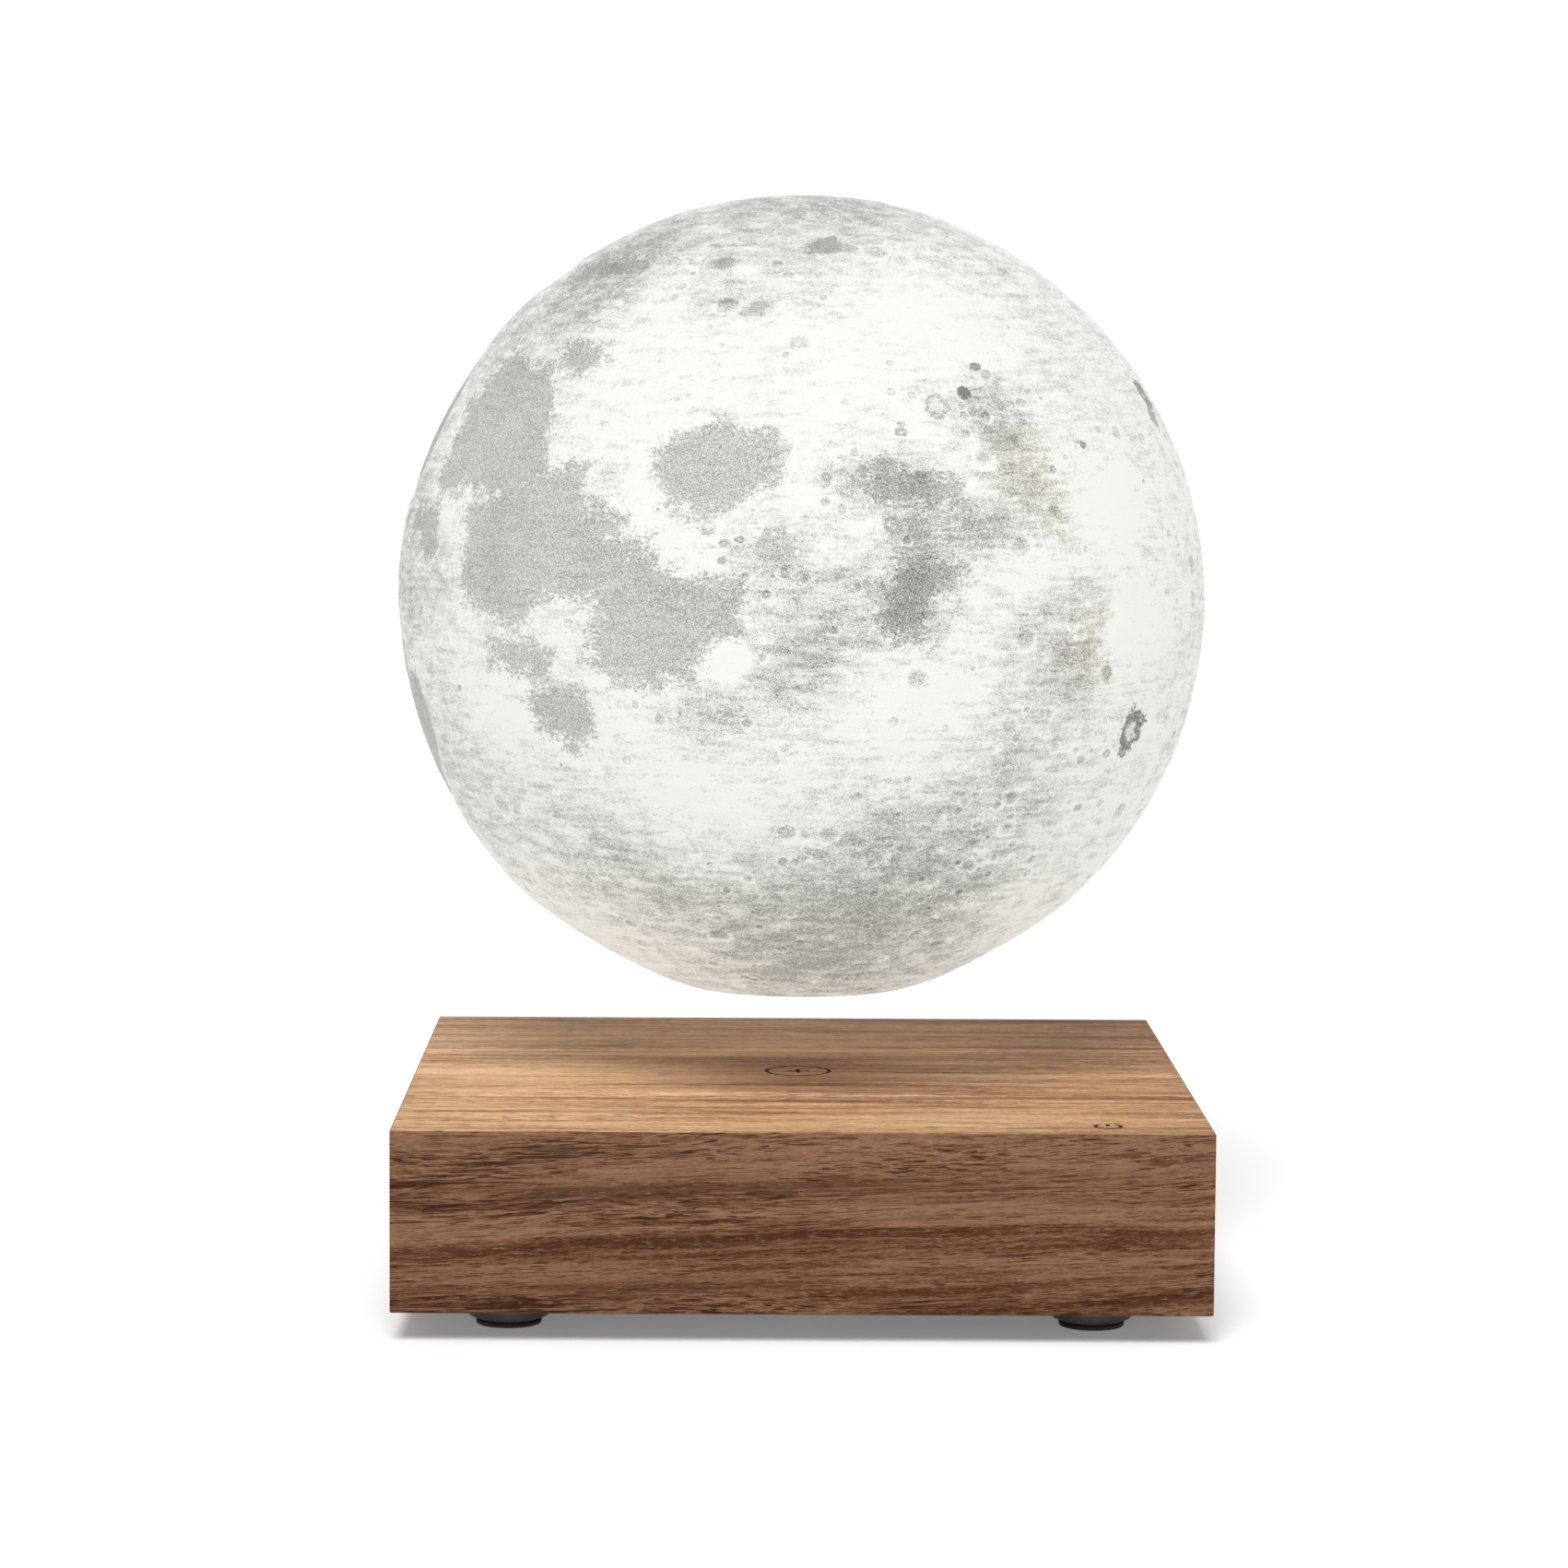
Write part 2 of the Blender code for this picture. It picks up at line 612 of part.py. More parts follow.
def make_feet():
    """Four round feet: a cup that the screw clamps to the cover, and a rubber pad under it."""
    flare_top = cup_bottom + FOOT_CUP_FLARE_HEIGHT
    head_hole = FOOT_SCREW_HEAD_RADIUS + CLEARANCE
    shank_hole = FOOT_SCREW_RADIUS + CLEARANCE
    cup = turned([
        (head_hole, cup_bottom), (FOOT_CUP_LOW_RADIUS, cup_bottom),
        (FOOT_CUP_TOP_RADIUS, flare_top), (FOOT_CUP_TOP_RADIUS, cup_top), (shank_hole, cup_top),
        (shank_hole, cup_top - FOOT_CUP_WEB), (head_hole, cup_top - FOOT_CUP_WEB),
    ])
    pad = turned([
        (0, 0), (FOOT_PAD_RADIUS - FOOT_PAD_CHAMFER, 0), (FOOT_PAD_RADIUS, FOOT_PAD_CHAMFER),
        (FOOT_PAD_RADIUS, FOOT_PAD_HEIGHT), (0, FOOT_PAD_HEIGHT),
    ])
    cup_mesh, pad_mesh = mesh_of(cup, "foot_cup"), mesh_of(pad, "foot_pad")
    for number, (x, y) in enumerate(corners(), 1):
        place = (x * foot_place, y * foot_place, 0)
        piece(f"foot_cup_{number}", cup_mesh, black_plastic(), place)
        rubber = finish("foot_rubber", (0.035, 0.032, 0.03), 0.8)
        piece(f"foot_pad_{number}", pad_mesh, rubber, place)
        shape = screw(FOOT_SCREW_HEAD_RADIUS, FOOT_SCREW_HEAD_HEIGHT, FOOT_SCREW_RADIUS, FOOT_SCREW_LENGTH)
        made = piece(f"foot_screw_{number}", moved(shape, 0, 0, foot_screw_seat), bare_steel(), place)
        slot = screw_slot(FOOT_SCREW_HEAD_RADIUS, FOOT_SCREW_HEAD_HEIGHT)
        cut(made, f"foot_screw_slot_{number}", moved(slot, place[0], place[1], foot_screw_seat))


# Lifting module

def module_screw_places():
    turns = [math.radians(angle) for angle in MODULE_SCREW_ANGLES_DEG]
    return [(module_screw_place * math.cos(turn), module_screw_place * math.sin(turn)) for turn in turns]


def make_module_housing():
    """The round tray, with three lugs at its foot and a notch in its rim for the lead."""
    made = piece("module_housing", turned([
        (0, inside_floor), (module_radius, inside_floor), (module_radius, module_rim),
        (module_inner_radius, module_rim), (module_inner_radius, module_floor_top),
        (0, module_floor_top),
    ], LARGE_ROUND_FACETS), black_plastic())
    lugs, holes = [], []
    for turn_deg, place in zip(MODULE_SCREW_ANGLES_DEG, module_screw_places()):
        lugs.append(moved(disc(MODULE_LUG_RADIUS, inside_floor, module_lug_top,
                               INNER_ROUND_FACETS), *place))
        web = block((module_inner_radius + CLEARANCE, -MODULE_LUG_RADIUS, inside_floor),
                    (module_screw_place, MODULE_LUG_RADIUS, module_lug_top))
        turn = Euler((0, 0, math.radians(turn_deg))).to_matrix()
        bmesh.ops.rotate(web, cent=(0, 0, 0), matrix=turn, verts=web.verts)
        lugs.append(web)
        holes.append(moved(disc(MODULE_SCREW_RADIUS + CLEARANCE, inside_floor - OVERRUN,
                                module_lug_top + OVERRUN, FINE_ROUND_FACETS), *place))
    for number, lug in enumerate(lugs, 1):
        join(made, f"module_lug_{number}", lug)
    cut(made, "lug_holes", gathered(holes))
    half = LEAD_NOTCH_WIDTH / 2
    notch = block((-module_radius - OVERRUN, -half, module_rim - LEAD_NOTCH_DEPTH),
                  (OVERRUN - module_inner_radius, half, module_rim + OVERRUN))
    cut(made, "lead_notch", notch)


def make_module_screws():
    seat = cover_bottom - CLEARANCE
    length = module_lug_top - MODULE_SCREW_SHORTFALL - seat
    for number, (x, y) in enumerate(module_screw_places(), 1):
        shape = screw(MODULE_SCREW_HEAD_RADIUS, MODULE_SCREW_HEAD_HEIGHT, MODULE_SCREW_RADIUS, length)
        made = piece(f"module_screw_{number}", moved(shape, 0, 0, seat), bare_steel(), (x, y, 0))
        slot = screw_slot(MODULE_SCREW_HEAD_RADIUS, MODULE_SCREW_HEAD_HEIGHT)
        cut(made, f"module_screw_slot_{number}", moved(slot, x, y, seat))


def make_ring_magnet():
    low, high = module_parts_floor, module_parts_floor + RING_MAGNET_HEIGHT
    magnet = ring(ring_magnet_inner, ring_magnet_outer, low, high, LARGE_ROUND_FACETS)
    piece("ring_magnet", magnet, dark_ferrite())


def make_coils():
    """The coil board and four steering coils, each a bobbin, a winding and a steel core."""
    board = disc(coil_board_radius, module_parts_floor, coil_board_top, LARGE_ROUND_FACETS)
    piece("coil_board", board, circuit_green())
    low_flange, high_flange = bobbin_bottom + BOBBIN_FLANGE, bobbin_top - BOBBIN_FLANGE
    bobbin = mesh_of(turned([
        (bobbin_tube_inner, bobbin_bottom), (BOBBIN_RADIUS, bobbin_bottom),
        (BOBBIN_RADIUS, low_flange), (bobbin_tube_outer, low_flange),
        (bobbin_tube_outer, high_flange), (BOBBIN_RADIUS, high_flange),
        (BOBBIN_RADIUS, bobbin_top), (bobbin_tube_inner, bobbin_top),
    ], INNER_ROUND_FACETS), "coil_bobbin")
    core = mesh_of(disc(CORE_RADIUS, bobbin_bottom, bobbin_top, INNER_ROUND_FACETS), "coil_core")
    winding = mesh_of(ring(bobbin_tube_outer + CLEARANCE, BOBBIN_RADIUS - WINDING_INSET,
                           low_flange + CLEARANCE, high_flange - CLEARANCE,
                           INNER_ROUND_FACETS), "coil_winding")
    reach = COIL_SPREAD / math.sqrt(2)
    nylon = finish("cream_nylon", (0.72, 0.68, 0.55), 0.5)
    for number, (x, y) in enumerate(corners(), 1):
        place = (x * reach, y * reach, 0)
        piece(f"coil_bobbin_{number}", bobbin, nylon, place)
        piece(f"coil_core_{number}", core, bare_steel(), place)
        piece(f"coil_winding_{number}", winding, copper_wire(), place)


def make_hall_sensor_board():
    """The sensor board on top of the coils, with the stem that reaches down between them."""
    half, stem = HALL_BOARD_SIDE / 2, HALL_STEM_SIDE / 2
    board = block((-half, -half, hall_board_bottom), (half, half, hall_board_top))
    made = piece("hall_sensor_board", board, circuit_green())
    inside = (hall_board_bottom + hall_board_top) / 2
    join(made, "hall_stem", block((-stem, -stem, hall_board_bottom - HALL_STEM_LENGTH),
                                  (stem, stem, inside)))


def make_coil_carrier():
    """The module's lid. Its two ribs hold the power coil and carry the top panel."""
    outer_rib = TRANSMITTER_RADIUS + CLEARANCE
    inner_rib = TRANSMITTER_RADIUS - TRANSMITTER_WIDTH - CLEARANCE
    boss_bottom = hall_board_top + CLEARANCE
    profile = [
        (0, boss_bottom), (CARRIER_BOSS_RADIUS, boss_bottom), (CARRIER_BOSS_RADIUS, carrier_bottom),
        (module_radius, carrier_bottom), (module_radius, carrier_top),
        (outer_rib + CARRIER_RIB, carrier_top), (outer_rib + CARRIER_RIB, rib_top),
        (outer_rib, rib_top), (outer_rib, carrier_top), (inner_rib, carrier_top),
        (inner_rib, rib_top), (inner_rib - CARRIER_RIB, rib_top),
        (inner_rib - CARRIER_RIB, carrier_top), (0, carrier_top),
    ]
    piece("coil_carrier", turned(profile, LARGE_ROUND_FACETS), black_plastic())
    coil = ring(TRANSMITTER_RADIUS - TRANSMITTER_WIDTH, TRANSMITTER_RADIUS,
                transmitter_bottom, transmitter_top, LARGE_ROUND_FACETS)
    piece("transmitter_coil", coil, copper_wire())


# Driver board, touch pad and power socket

def make_driver_board():
    """The board beside the module, on four posts, with its plugs and larger parts."""
    end, inside = driver_board_end, (driver_board_bottom + driver_board_top) / 2
    board = block((-driver_board_outer, -end, driver_board_bottom),
                  (-driver_board_inner, end, driver_board_top))
    made = piece("driver_board", board, circuit_green())
    posts = []
    for side in (driver_board_outer - DRIVER_POST_INSET, driver_board_inner + DRIVER_POST_INSET):
        for reach in (DRIVER_POST_INSET - end, end - DRIVER_POST_INSET):
            posts.append(moved(disc(DRIVER_POST_RADIUS, inside_floor, inside, FINE_ROUND_FACETS),
                               -side, reach))
    join(made, "driver_posts", gathered(posts))

    half = END_PLUG_WIDTH / 2
    plugs = []
    for side in (-1, 1):
        near, far = sorted((side * end_plug_face, side * (end_plug_face - END_PLUG_LENGTH)))
        plugs.append(block((-driver_board_middle - half, near, inside),
                           (-driver_board_middle + half, far, driver_board_top + END_PLUG_HEIGHT)))
    half_width, half_length = MIDDLE_PLUG_WIDTH / 2, MIDDLE_PLUG_LENGTH / 2
    plugs.append(block((-middle_plug_place - half_width, -half_length, inside),
                       (-middle_plug_place + half_width, half_length,
                        driver_board_top + MIDDLE_PLUG_HEIGHT)))
    join(made, "driver_plugs", gathered(plugs))

    can_place = (end - END_PLUG_LENGTH + half_length) / 2
    cans = [moved(disc(CAN_RADIUS, inside, driver_board_top + CAN_HEIGHT, FINE_ROUND_FACETS),
                  -driver_board_middle, side * can_place) for side in (-1, 1)]
    join(made, "driver_cans", gathered(cans))
    chip_half = CHIP_SIDE / 2
    chip_place = driver_board_outer - chip_half - CLEARANCE
    chip = block((-chip_place - chip_half, -chip_half, inside),
                 (-chip_place + chip_half, chip_half, driver_board_top + CHIP_HEIGHT))
    join(made, "driver_chip", chip)


def make_touch_pad():
    """The touch plate under the power mark, on top of the front right corner block."""
    front = CLEARANCE - cavity_half
    low = (power_mark_x - TOUCH_PAD_WIDTH / 2, front, touch_pad_bottom)
    high = (power_mark_x + TOUCH_PAD_WIDTH / 2, front + TOUCH_PAD_DEPTH, touch_pad_top)
    piece("touch_pad", block(low, high), copper_wire())


def make_power_socket():
    """The barrel socket, let into the rear board and held by a nut from inside."""
    bore_floor = case_half - SOCKET_BORE_DEPTH
    pin_hole = SOCKET_PIN_RADIUS + CLEARANCE
    body = turned([
        (pin_hole, socket_back), (SOCKET_BODY_RADIUS, socket_back), (SOCKET_BODY_RADIUS, socket_seat),
        (SOCKET_FLANGE_RADIUS, socket_seat), (SOCKET_FLANGE_RADIUS, case_half),
        (SOCKET_BORE_RADIUS, case_half), (SOCKET_BORE_RADIUS, bore_floor), (pin_hole, bore_floor),
    ])
    piece("dc_socket", moved(facing_back(body), 0, 0, socket_height), black_plastic())
    tip = case_half - SOCKET_PIN_SETBACK
    pin = turned([(0, pin_back), (SOCKET_PIN_RADIUS, pin_back), (SOCKET_PIN_RADIUS, tip - SOCKET_PIN_RADIUS),
                  (SOCKET_PIN_RADIUS / 2, tip), (0, tip)], FINE_ROUND_FACETS)
    piece("dc_socket_pin", moved(facing_back(pin), 0, 0, socket_height), bare_steel())
    nut = disc(SOCKET_NUT_RADIUS, nut_face - SOCKET_NUT_THICKNESS, nut_face, HEXAGON_SIDES)
    made = piece("dc_socket_nut", moved(facing_back(nut), 0, 0, socket_height), bare_steel())
    hole = disc(SOCKET_BODY_RADIUS + CLEARANCE, nut_face - SOCKET_NUT_THICKNESS - OVERRUN,
                nut_face + OVERRUN)
    cut(made, "nut_hole", moved(facing_back(hole), 0, 0, socket_height))


# Leads

def lane(angle_deg, height):
    """A point on the circle round the module that the leads follow."""
    turn = math.radians(angle_deg)
    return Vector((lane_radius * math.cos(turn), lane_radius * math.sin(turn), height))


def smooth_route(points):
    """Points on a smooth curve through the given ones."""
    padded = [points[0] * 2 - points[1], *points, points[-1] * 2 - points[-2]]
    route = []
    for before, start, end, after in zip(padded, padded[1:], padded[2:], padded[3:]):
        for step in range(LEAD_STEPS):
            t = step / LEAD_STEPS
            route.append((
                start * 2 + (end - before) * t
                + (before * 2 - start * 5 + end * 4 - after) * t**2
                + (start * 3 - end * 3 + after - before) * t**3
            ) / 2)
    return route + [points[-1]]


def make_lead(name, points, radius, colour):
    """A round lead along a smooth route."""
    curve = bpy.data.curves.new(name, "CURVE")
    curve.dimensions = "3D"
    curve.bevel_depth = radius
    curve.bevel_resolution = LEAD_SIDES
    curve.use_fill_caps = True
    route = smooth_route([Vector(point) for point in points])
    spline = curve.splines.new("POLY")
    spline.points.add(len(route) - 1)
    for point, place in zip(spline.points, route):
        point.co = (*place, 1)
    curve.materials.append(finish(f"{name}_jacket", colour, 0.5))
    bpy.context.collection.objects.link(bpy.data.objects.new(name, curve))


def make_leads():
    board_x = -driver_board_middle
    turn_x = -(lane_radius + driver_board_inner) / 2
    face = end_plug_face + CLEARANCE
    start_y = pin_back - CLEARANCE
    fall = socket_height - end_plug_middle
    dc_points = [
        (0, start_y, socket_height),
        (-DC_LEAD_RADIUS / 2, (start_y + lane_radius) / 2, socket_height),
        *[lane(angle, socket_height - fall * share) for angle, share in DC_FALL_SHARES],
        (turn_x, face + LEAD_CORNER, end_plug_middle + fall * LANDING_RISE_SHARE),
        (board_x, face + LEAD_CORNER, end_plug_middle),
        (board_x, face, end_plug_middle),
    ]
    make_lead("dc_lead", dc_points, DC_LEAD_RADIUS, (0.02, 0.02, 0.02))

    pad_middle = (touch_pad_bottom + touch_pad_top) / 2
    pad_back = CLEARANCE - cavity_half + TOUCH_PAD_DEPTH + CLEARANCE
    block_inner = block_outer - CORNER_BLOCK_SIDE
    drop = pad_middle - end_plug_middle
    touch_points = [
        (power_mark_x, pad_back, pad_middle),
        (power_mark_x, (pad_back - block_inner) / 2, pad_middle),
        (power_mark_x - LEAD_CORNER / 2, LEAD_CORNER / 2 - block_inner, pad_middle - LEAD_DIP),
        *[lane(angle, pad_middle - drop * share) for angle, share in TOUCH_FALL_SHARES],
        (turn_x, -face - LEAD_CORNER, end_plug_middle + drop * LANDING_RISE_SHARE),
        (board_x, -face - LEAD_CORNER, end_plug_middle),
        (board_x, -face, end_plug_middle),
    ]
    make_lead("touch_lead", touch_points, TOUCH_LEAD_RADIUS, (0.5, 0.04, 0.03))

    over = module_rim - LEAD_NOTCH_DEPTH / 2
    plug_top = driver_board_top + MIDDLE_PLUG_HEIGHT + CLEARANCE
    landing = (coil_board_radius + COIL_SPREAD + BOBBIN_RADIUS) / 2
    module_points = [
        (-middle_plug_place, 0, plug_top),
        (-middle_plug_place, 0, (plug_top + over) / 2),
        (LEAD_CLIMB / 2 - middle_plug_place, 0, over - LEAD_CLIMB),
        (-module_radius - LEAD_CLIMB / 2, 0, over),
        (-ring_magnet_outer, 0, over),
        (-ring_magnet_inner - LEAD_CORNER, 0, over),
        (-landing - LEAD_CLIMB / 2, 0, over - LEAD_CLIMB),
        (-landing, 0, over - LEAD_CORNER),
        (-landing, 0, (over + coil_board_top) / 2),
        (-landing, 0, coil_board_top + CLEARANCE),
    ]
    make_lead("module_lead", module_points, MODULE_LEAD_RADIUS, (0.7, 0.7, 0.68))


# Moon

def globe_directions():
    """Each sea's middle as a direction on the turned globe, with its radius in radians."""
    globe = Euler([math.radians(angle) for angle in GLOBE_TURN_DEG]).to_matrix()
    seas = []
    for latitude_deg, longitude_deg, radius_deg in SEAS_DEG.values():
        latitude, longitude = math.radians(latitude_deg), math.radians(longitude_deg)
        middle = Vector((math.cos(latitude) * math.cos(longitude),
                         math.cos(latitude) * math.sin(longitude), math.sin(latitude)))
        seas.append((globe @ middle, math.radians(radius_deg)))
    return seas


def sea_floor(direction, seas):
    """How deep the ground lies in one direction, from 0 on the highlands to 1 in a sea."""
    deepest = 0.0
    for middle, radius in seas:
        inward = (SEA_EDGE_SHARE - direction.angle(middle) / radius) / SEA_SLOPE_SHARE
        deepest = max(deepest, min(1.0, inward))
    return deepest**2 * (3 - 2 * deepest)


def sphere_height(radius, reach):
    """The height on the lower half of a ball round the moon's centre, at a distance from the axis."""
    return moon_centre - math.sqrt(radius**2 - reach**2)


def make_moon_shell():
    """The printed ball, open at the bottom, with its seas sunk a little."""
    inner_start = math.asin(collar_outer / shell_inner_radius)
    inner = [(MOUTH_RADIUS, sphere_height(shell_inner_radius, MOUTH_RADIUS))]
    for step in range(MOON_INNER_RINGS):
        turn = inner_start + (math.pi - inner_start) * step / MOON_INNER_RINGS
        inner.append((shell_inner_radius * math.sin(turn),
                      moon_centre - shell_inner_radius * math.cos(turn)))
    inner.append((0, moon_centre + shell_inner_radius))
    outer_start = math.asin(MOUTH_RADIUS / MOON_RADIUS)
    outer = []
    for step in range(MOON_RINGS):
        turn = outer_start + (math.pi - outer_start) * step / MOON_RINGS
        outer.append((MOON_RADIUS * math.sin(turn), moon_centre - MOON_RADIUS * math.cos(turn)))
    outer.append((0, moon_centre + MOON_RADIUS))
    shape = turned(inner[::-1] + outer, MOON_FACETS)

    centre = Vector((0, 0, moon_centre))
    seas = globe_directions()
    rim_height = cap_bottom + SHELL_WALL
    for vert in shape.verts:
        direction = vert.co - centre
        if direction.length > MOON_RADIUS - SHELL_WALL / 2 and vert.co.z > rim_height:
            vert.co -= direction.normalized() * SEA_DEPTH * sea_floor(direction, seas)
    piece("moon_shell", shape, white_print())


def make_shell_collar():
    """The ring glued inside the shell's mouth, notched for the cap's bayonet tabs."""
    foot_radius = MOUTH_RADIUS + CLEARANCE
    foot_height = sphere_height(shell_inner_radius, foot_radius) + 2 * CLEARANCE
    edge_height = sphere_height(shell_inner_radius, collar_outer) + 2 * CLEARANCE
    made = piece("shell_collar", turned([
        (collar_inner, foot_height), (foot_radius, foot_height), (collar_outer, edge_height),
        (collar_outer, collar_top), (collar_inner, collar_top),
    ], LARGE_ROUND_FACETS), white_print())
    reach = cap_wall_outer + BAYONET_TAB_REACH + CLEARANCE
    sweep = BAYONET_TAB_DEG + 2 * BAYONET_PLAY_DEG
    notches = [
        sector(collar_inner - OVERRUN, reach, foot_height - OVERRUN, collar_top + OVERRUN,
               turn_deg + BAYONET_LOCKING_TURN_DEG - sweep / 2, sweep, TAB_FACETS)
        for turn_deg in BAYONET_ANGLES_DEG
    ]
    cut(made, "bayonet_notches", gathered(notches))


def make_bottom_cap():
    """The cup that closes the moon and holds its magnet, locked by three tabs."""
    made = piece("bottom_cap", turned([
        (0, cap_bottom), (cap_radius, cap_bottom), (cap_radius, cap_floor_top),
        (cap_wall_outer, cap_floor_top), (cap_wall_outer, cap_wall_top),
        (cap_wall_inner, cap_wall_top), (cap_wall_inner, cap_floor_top), (0, cap_floor_top),
    ], LARGE_ROUND_FACETS), white_print())
    middle = (cap_wall_inner + cap_wall_outer) / 2
    tabs = [
        sector(middle, cap_wall_outer + BAYONET_TAB_REACH, tab_bottom, cap_wall_top,
               turn_deg - BAYONET_TAB_DEG / 2, BAYONET_TAB_DEG, TAB_FACETS)
        for turn_deg in BAYONET_ANGLES_DEG
    ]
    join(made, "bayonet_tabs", gathered(tabs))
    holes = [moved(disc(SPANNER_HOLE_RADIUS, cap_bottom - OVERRUN, cap_bottom + SPANNER_HOLE_DEPTH,
                        FINE_ROUND_FACETS), side * SPANNER_HOLE_PLACE, 0) for side in (-1, 1)]
    cut(made, "spanner_holes", gathered(holes))


def make_float_parts():
    """The float magnet and the coil that takes up the power for the light."""
    edge = FLOAT_MAGNET_CHAMFER
    magnet = turned([
        (0, magnet_bottom), (magnet_radius - edge, magnet_bottom), (magnet_radius, magnet_bottom + edge),
        (magnet_radius, magnet_top - edge), (magnet_radius - edge, magnet_top), (0, magnet_top),
    ], LARGE_ROUND_FACETS)
    piece("float_magnet", magnet, finish("bright_nickel", (0.6, 0.6, 0.58), 0.2, 1.0))
    coil = ring(receiver_inner, receiver_outer, magnet_bottom, magnet_bottom + RECEIVER_COIL_HEIGHT,
                LARGE_ROUND_FACETS)
    piece("receiver_coil", coil, copper_wire())


def make_light():
    """The heat sink on the cap, the light board on it and the frosted dome over that."""
    outline = []
    steps = HEAT_SINK_NOTCHES * STEPS_PER_NOTCH
    for step in range(steps):
        turn = math.tau * step / steps
        in_notch = step % STEPS_PER_NOTCH >= STEPS_PER_NOTCH / 2
        reach = cap_wall_outer - (HEAT_SINK_NOTCH if in_notch else 0)
        outline.append((reach * math.cos(turn), reach * math.sin(turn)))
    plate = slab(outline, heat_sink_bottom, heat_sink_top)
    piece("heat_sink", plate, finish("bare_aluminium", (0.6, 0.61, 0.62), 0.35, 1.0))

    board_top = light_floor + LED_BOARD_THICKNESS
    made = piece("led_board", disc(led_board_radius, light_floor, board_top), circuit_green())
    inside, half = (light_floor + board_top) / 2, LED_SIDE / 2
    lights = []
    for step in range(LED_COUNT):
        turn = math.tau * step / LED_COUNT
        light = block((-half, -half, inside), (half, half, board_top + LED_HEIGHT))
        lights.append(moved(light, LED_CIRCLE_RADIUS * math.cos(turn), LED_CIRCLE_RADIUS * math.sin(turn)))
    join(made, "light_chips", gathered(lights))

    inner, outer = [], []
    for step in range(DOME_RINGS):
        turn = math.pi / 2 * step / DOME_RINGS
        inner.append((dome_inner * math.cos(turn), light_floor + dome_inner * math.sin(turn)))
        outer.append((DOME_RADIUS * math.cos(turn), light_floor + DOME_RADIUS * math.sin(turn)))
    profile = [(0, light_floor + dome_inner)] + inner[::-1] + outer + [(0, light_floor + DOME_RADIUS)]
    piece("light_dome", turned(profile), finish("frosted_dome", (0.85, 0.85, 0.82), 0.4))


def main():
    for old in list(bpy.data.objects):
        bpy.data.objects.remove(old, do_unlink=True)
    make_boards()
    make_top_panel()
    make_corner_blocks()
    make_bottom_cover()
    make_feet()
    make_module_housing()
    make_module_screws()
    make_ring_magnet()
    make_coils()
    make_hall_sensor_board()
    make_coil_carrier()
    make_driver_board()
    make_touch_pad()
    make_power_socket()
    make_leads()
    make_moon_shell()
    make_shell_collar()
    make_bottom_cap()
    make_float_parts()
    make_light()


main()
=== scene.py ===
"""The looks of the levitating moon lamp: a printed moon that floats over a walnut box.

Every operator makes one group of pieces around the packed solids, or finishes the solids that
stay. Places and sizes come from the frame, in metres, with the floor at z = 0 and the front at -Y.
"""

import math

import bmesh
import bpy
import numpy as np
from mathutils import Euler, Matrix, Vector


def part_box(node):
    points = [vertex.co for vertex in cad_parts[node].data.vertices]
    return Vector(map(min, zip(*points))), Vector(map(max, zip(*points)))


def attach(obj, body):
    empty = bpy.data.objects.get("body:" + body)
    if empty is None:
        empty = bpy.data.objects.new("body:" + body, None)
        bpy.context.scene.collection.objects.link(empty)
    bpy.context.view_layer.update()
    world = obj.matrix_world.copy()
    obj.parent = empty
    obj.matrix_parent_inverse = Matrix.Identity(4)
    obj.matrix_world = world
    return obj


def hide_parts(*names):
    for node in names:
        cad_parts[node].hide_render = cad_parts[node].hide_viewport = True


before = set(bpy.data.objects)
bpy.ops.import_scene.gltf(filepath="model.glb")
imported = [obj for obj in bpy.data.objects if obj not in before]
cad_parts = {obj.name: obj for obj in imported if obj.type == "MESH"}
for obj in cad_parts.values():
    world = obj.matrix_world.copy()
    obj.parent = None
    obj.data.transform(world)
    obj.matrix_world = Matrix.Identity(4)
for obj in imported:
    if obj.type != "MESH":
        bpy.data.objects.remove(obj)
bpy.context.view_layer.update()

bl_info = {
    "name": "Levitating Moon Lamp",
    "version": (1, 0, 0),
    "blender": (4, 5, 0),
    "location": "3D View > Sidebar > Moon Lamp",
    "description": "Makes the walnut case, the printed moon, the feet and the studio of the lamp",
    "category": "Object",
}

# Sizes read from the frame
PANEL_LOW, PANEL_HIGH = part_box("top_panel")
FRONT_LOW, FRONT_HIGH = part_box("front_board")
CUP_LOW, CUP_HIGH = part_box("foot_cup_1")
PAD_LOW, PAD_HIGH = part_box("foot_pad_1")
SOCKET_LOW, SOCKET_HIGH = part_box("dc_socket")
PIN_LOW, PIN_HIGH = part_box("dc_socket_pin")
SHELL_LOW, SHELL_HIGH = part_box("moon_shell")
CAP_LOW, CAP_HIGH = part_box("bottom_cap")
CASE_TOP = PANEL_HIGH.z
CASE_HALF = -FRONT_LOW.y

# How near two heights count as the same, the gap of pieces that fit, and of a glued joint
EYE = 1e-6
FIT = 0.0003
TIGHT = 0.00002

# The moon as it was made: its ball, its mouth and its wall
MOON_RADIUS = 0.0888
SHELL_WALL = 0.0015
MOON_CENTRE = Vector((0, 0, SHELL_HIGH.z - MOON_RADIUS))
MOUTH_RADIUS = math.sqrt(MOON_RADIUS**2 - (MOON_CENTRE.z - SHELL_LOW.z) ** 2)

# The marks on the top panel
RING_MARK_RADIUS = 0.007
MARK_LINE = 0.00042
PLUS_MARK_REACH = 0.0026
POWER_MARK_RADIUS = 0.0027
POWER_MARK_PLACE = (0.0635, -0.0748)
POWER_MARK_OPENING_DEG = 32

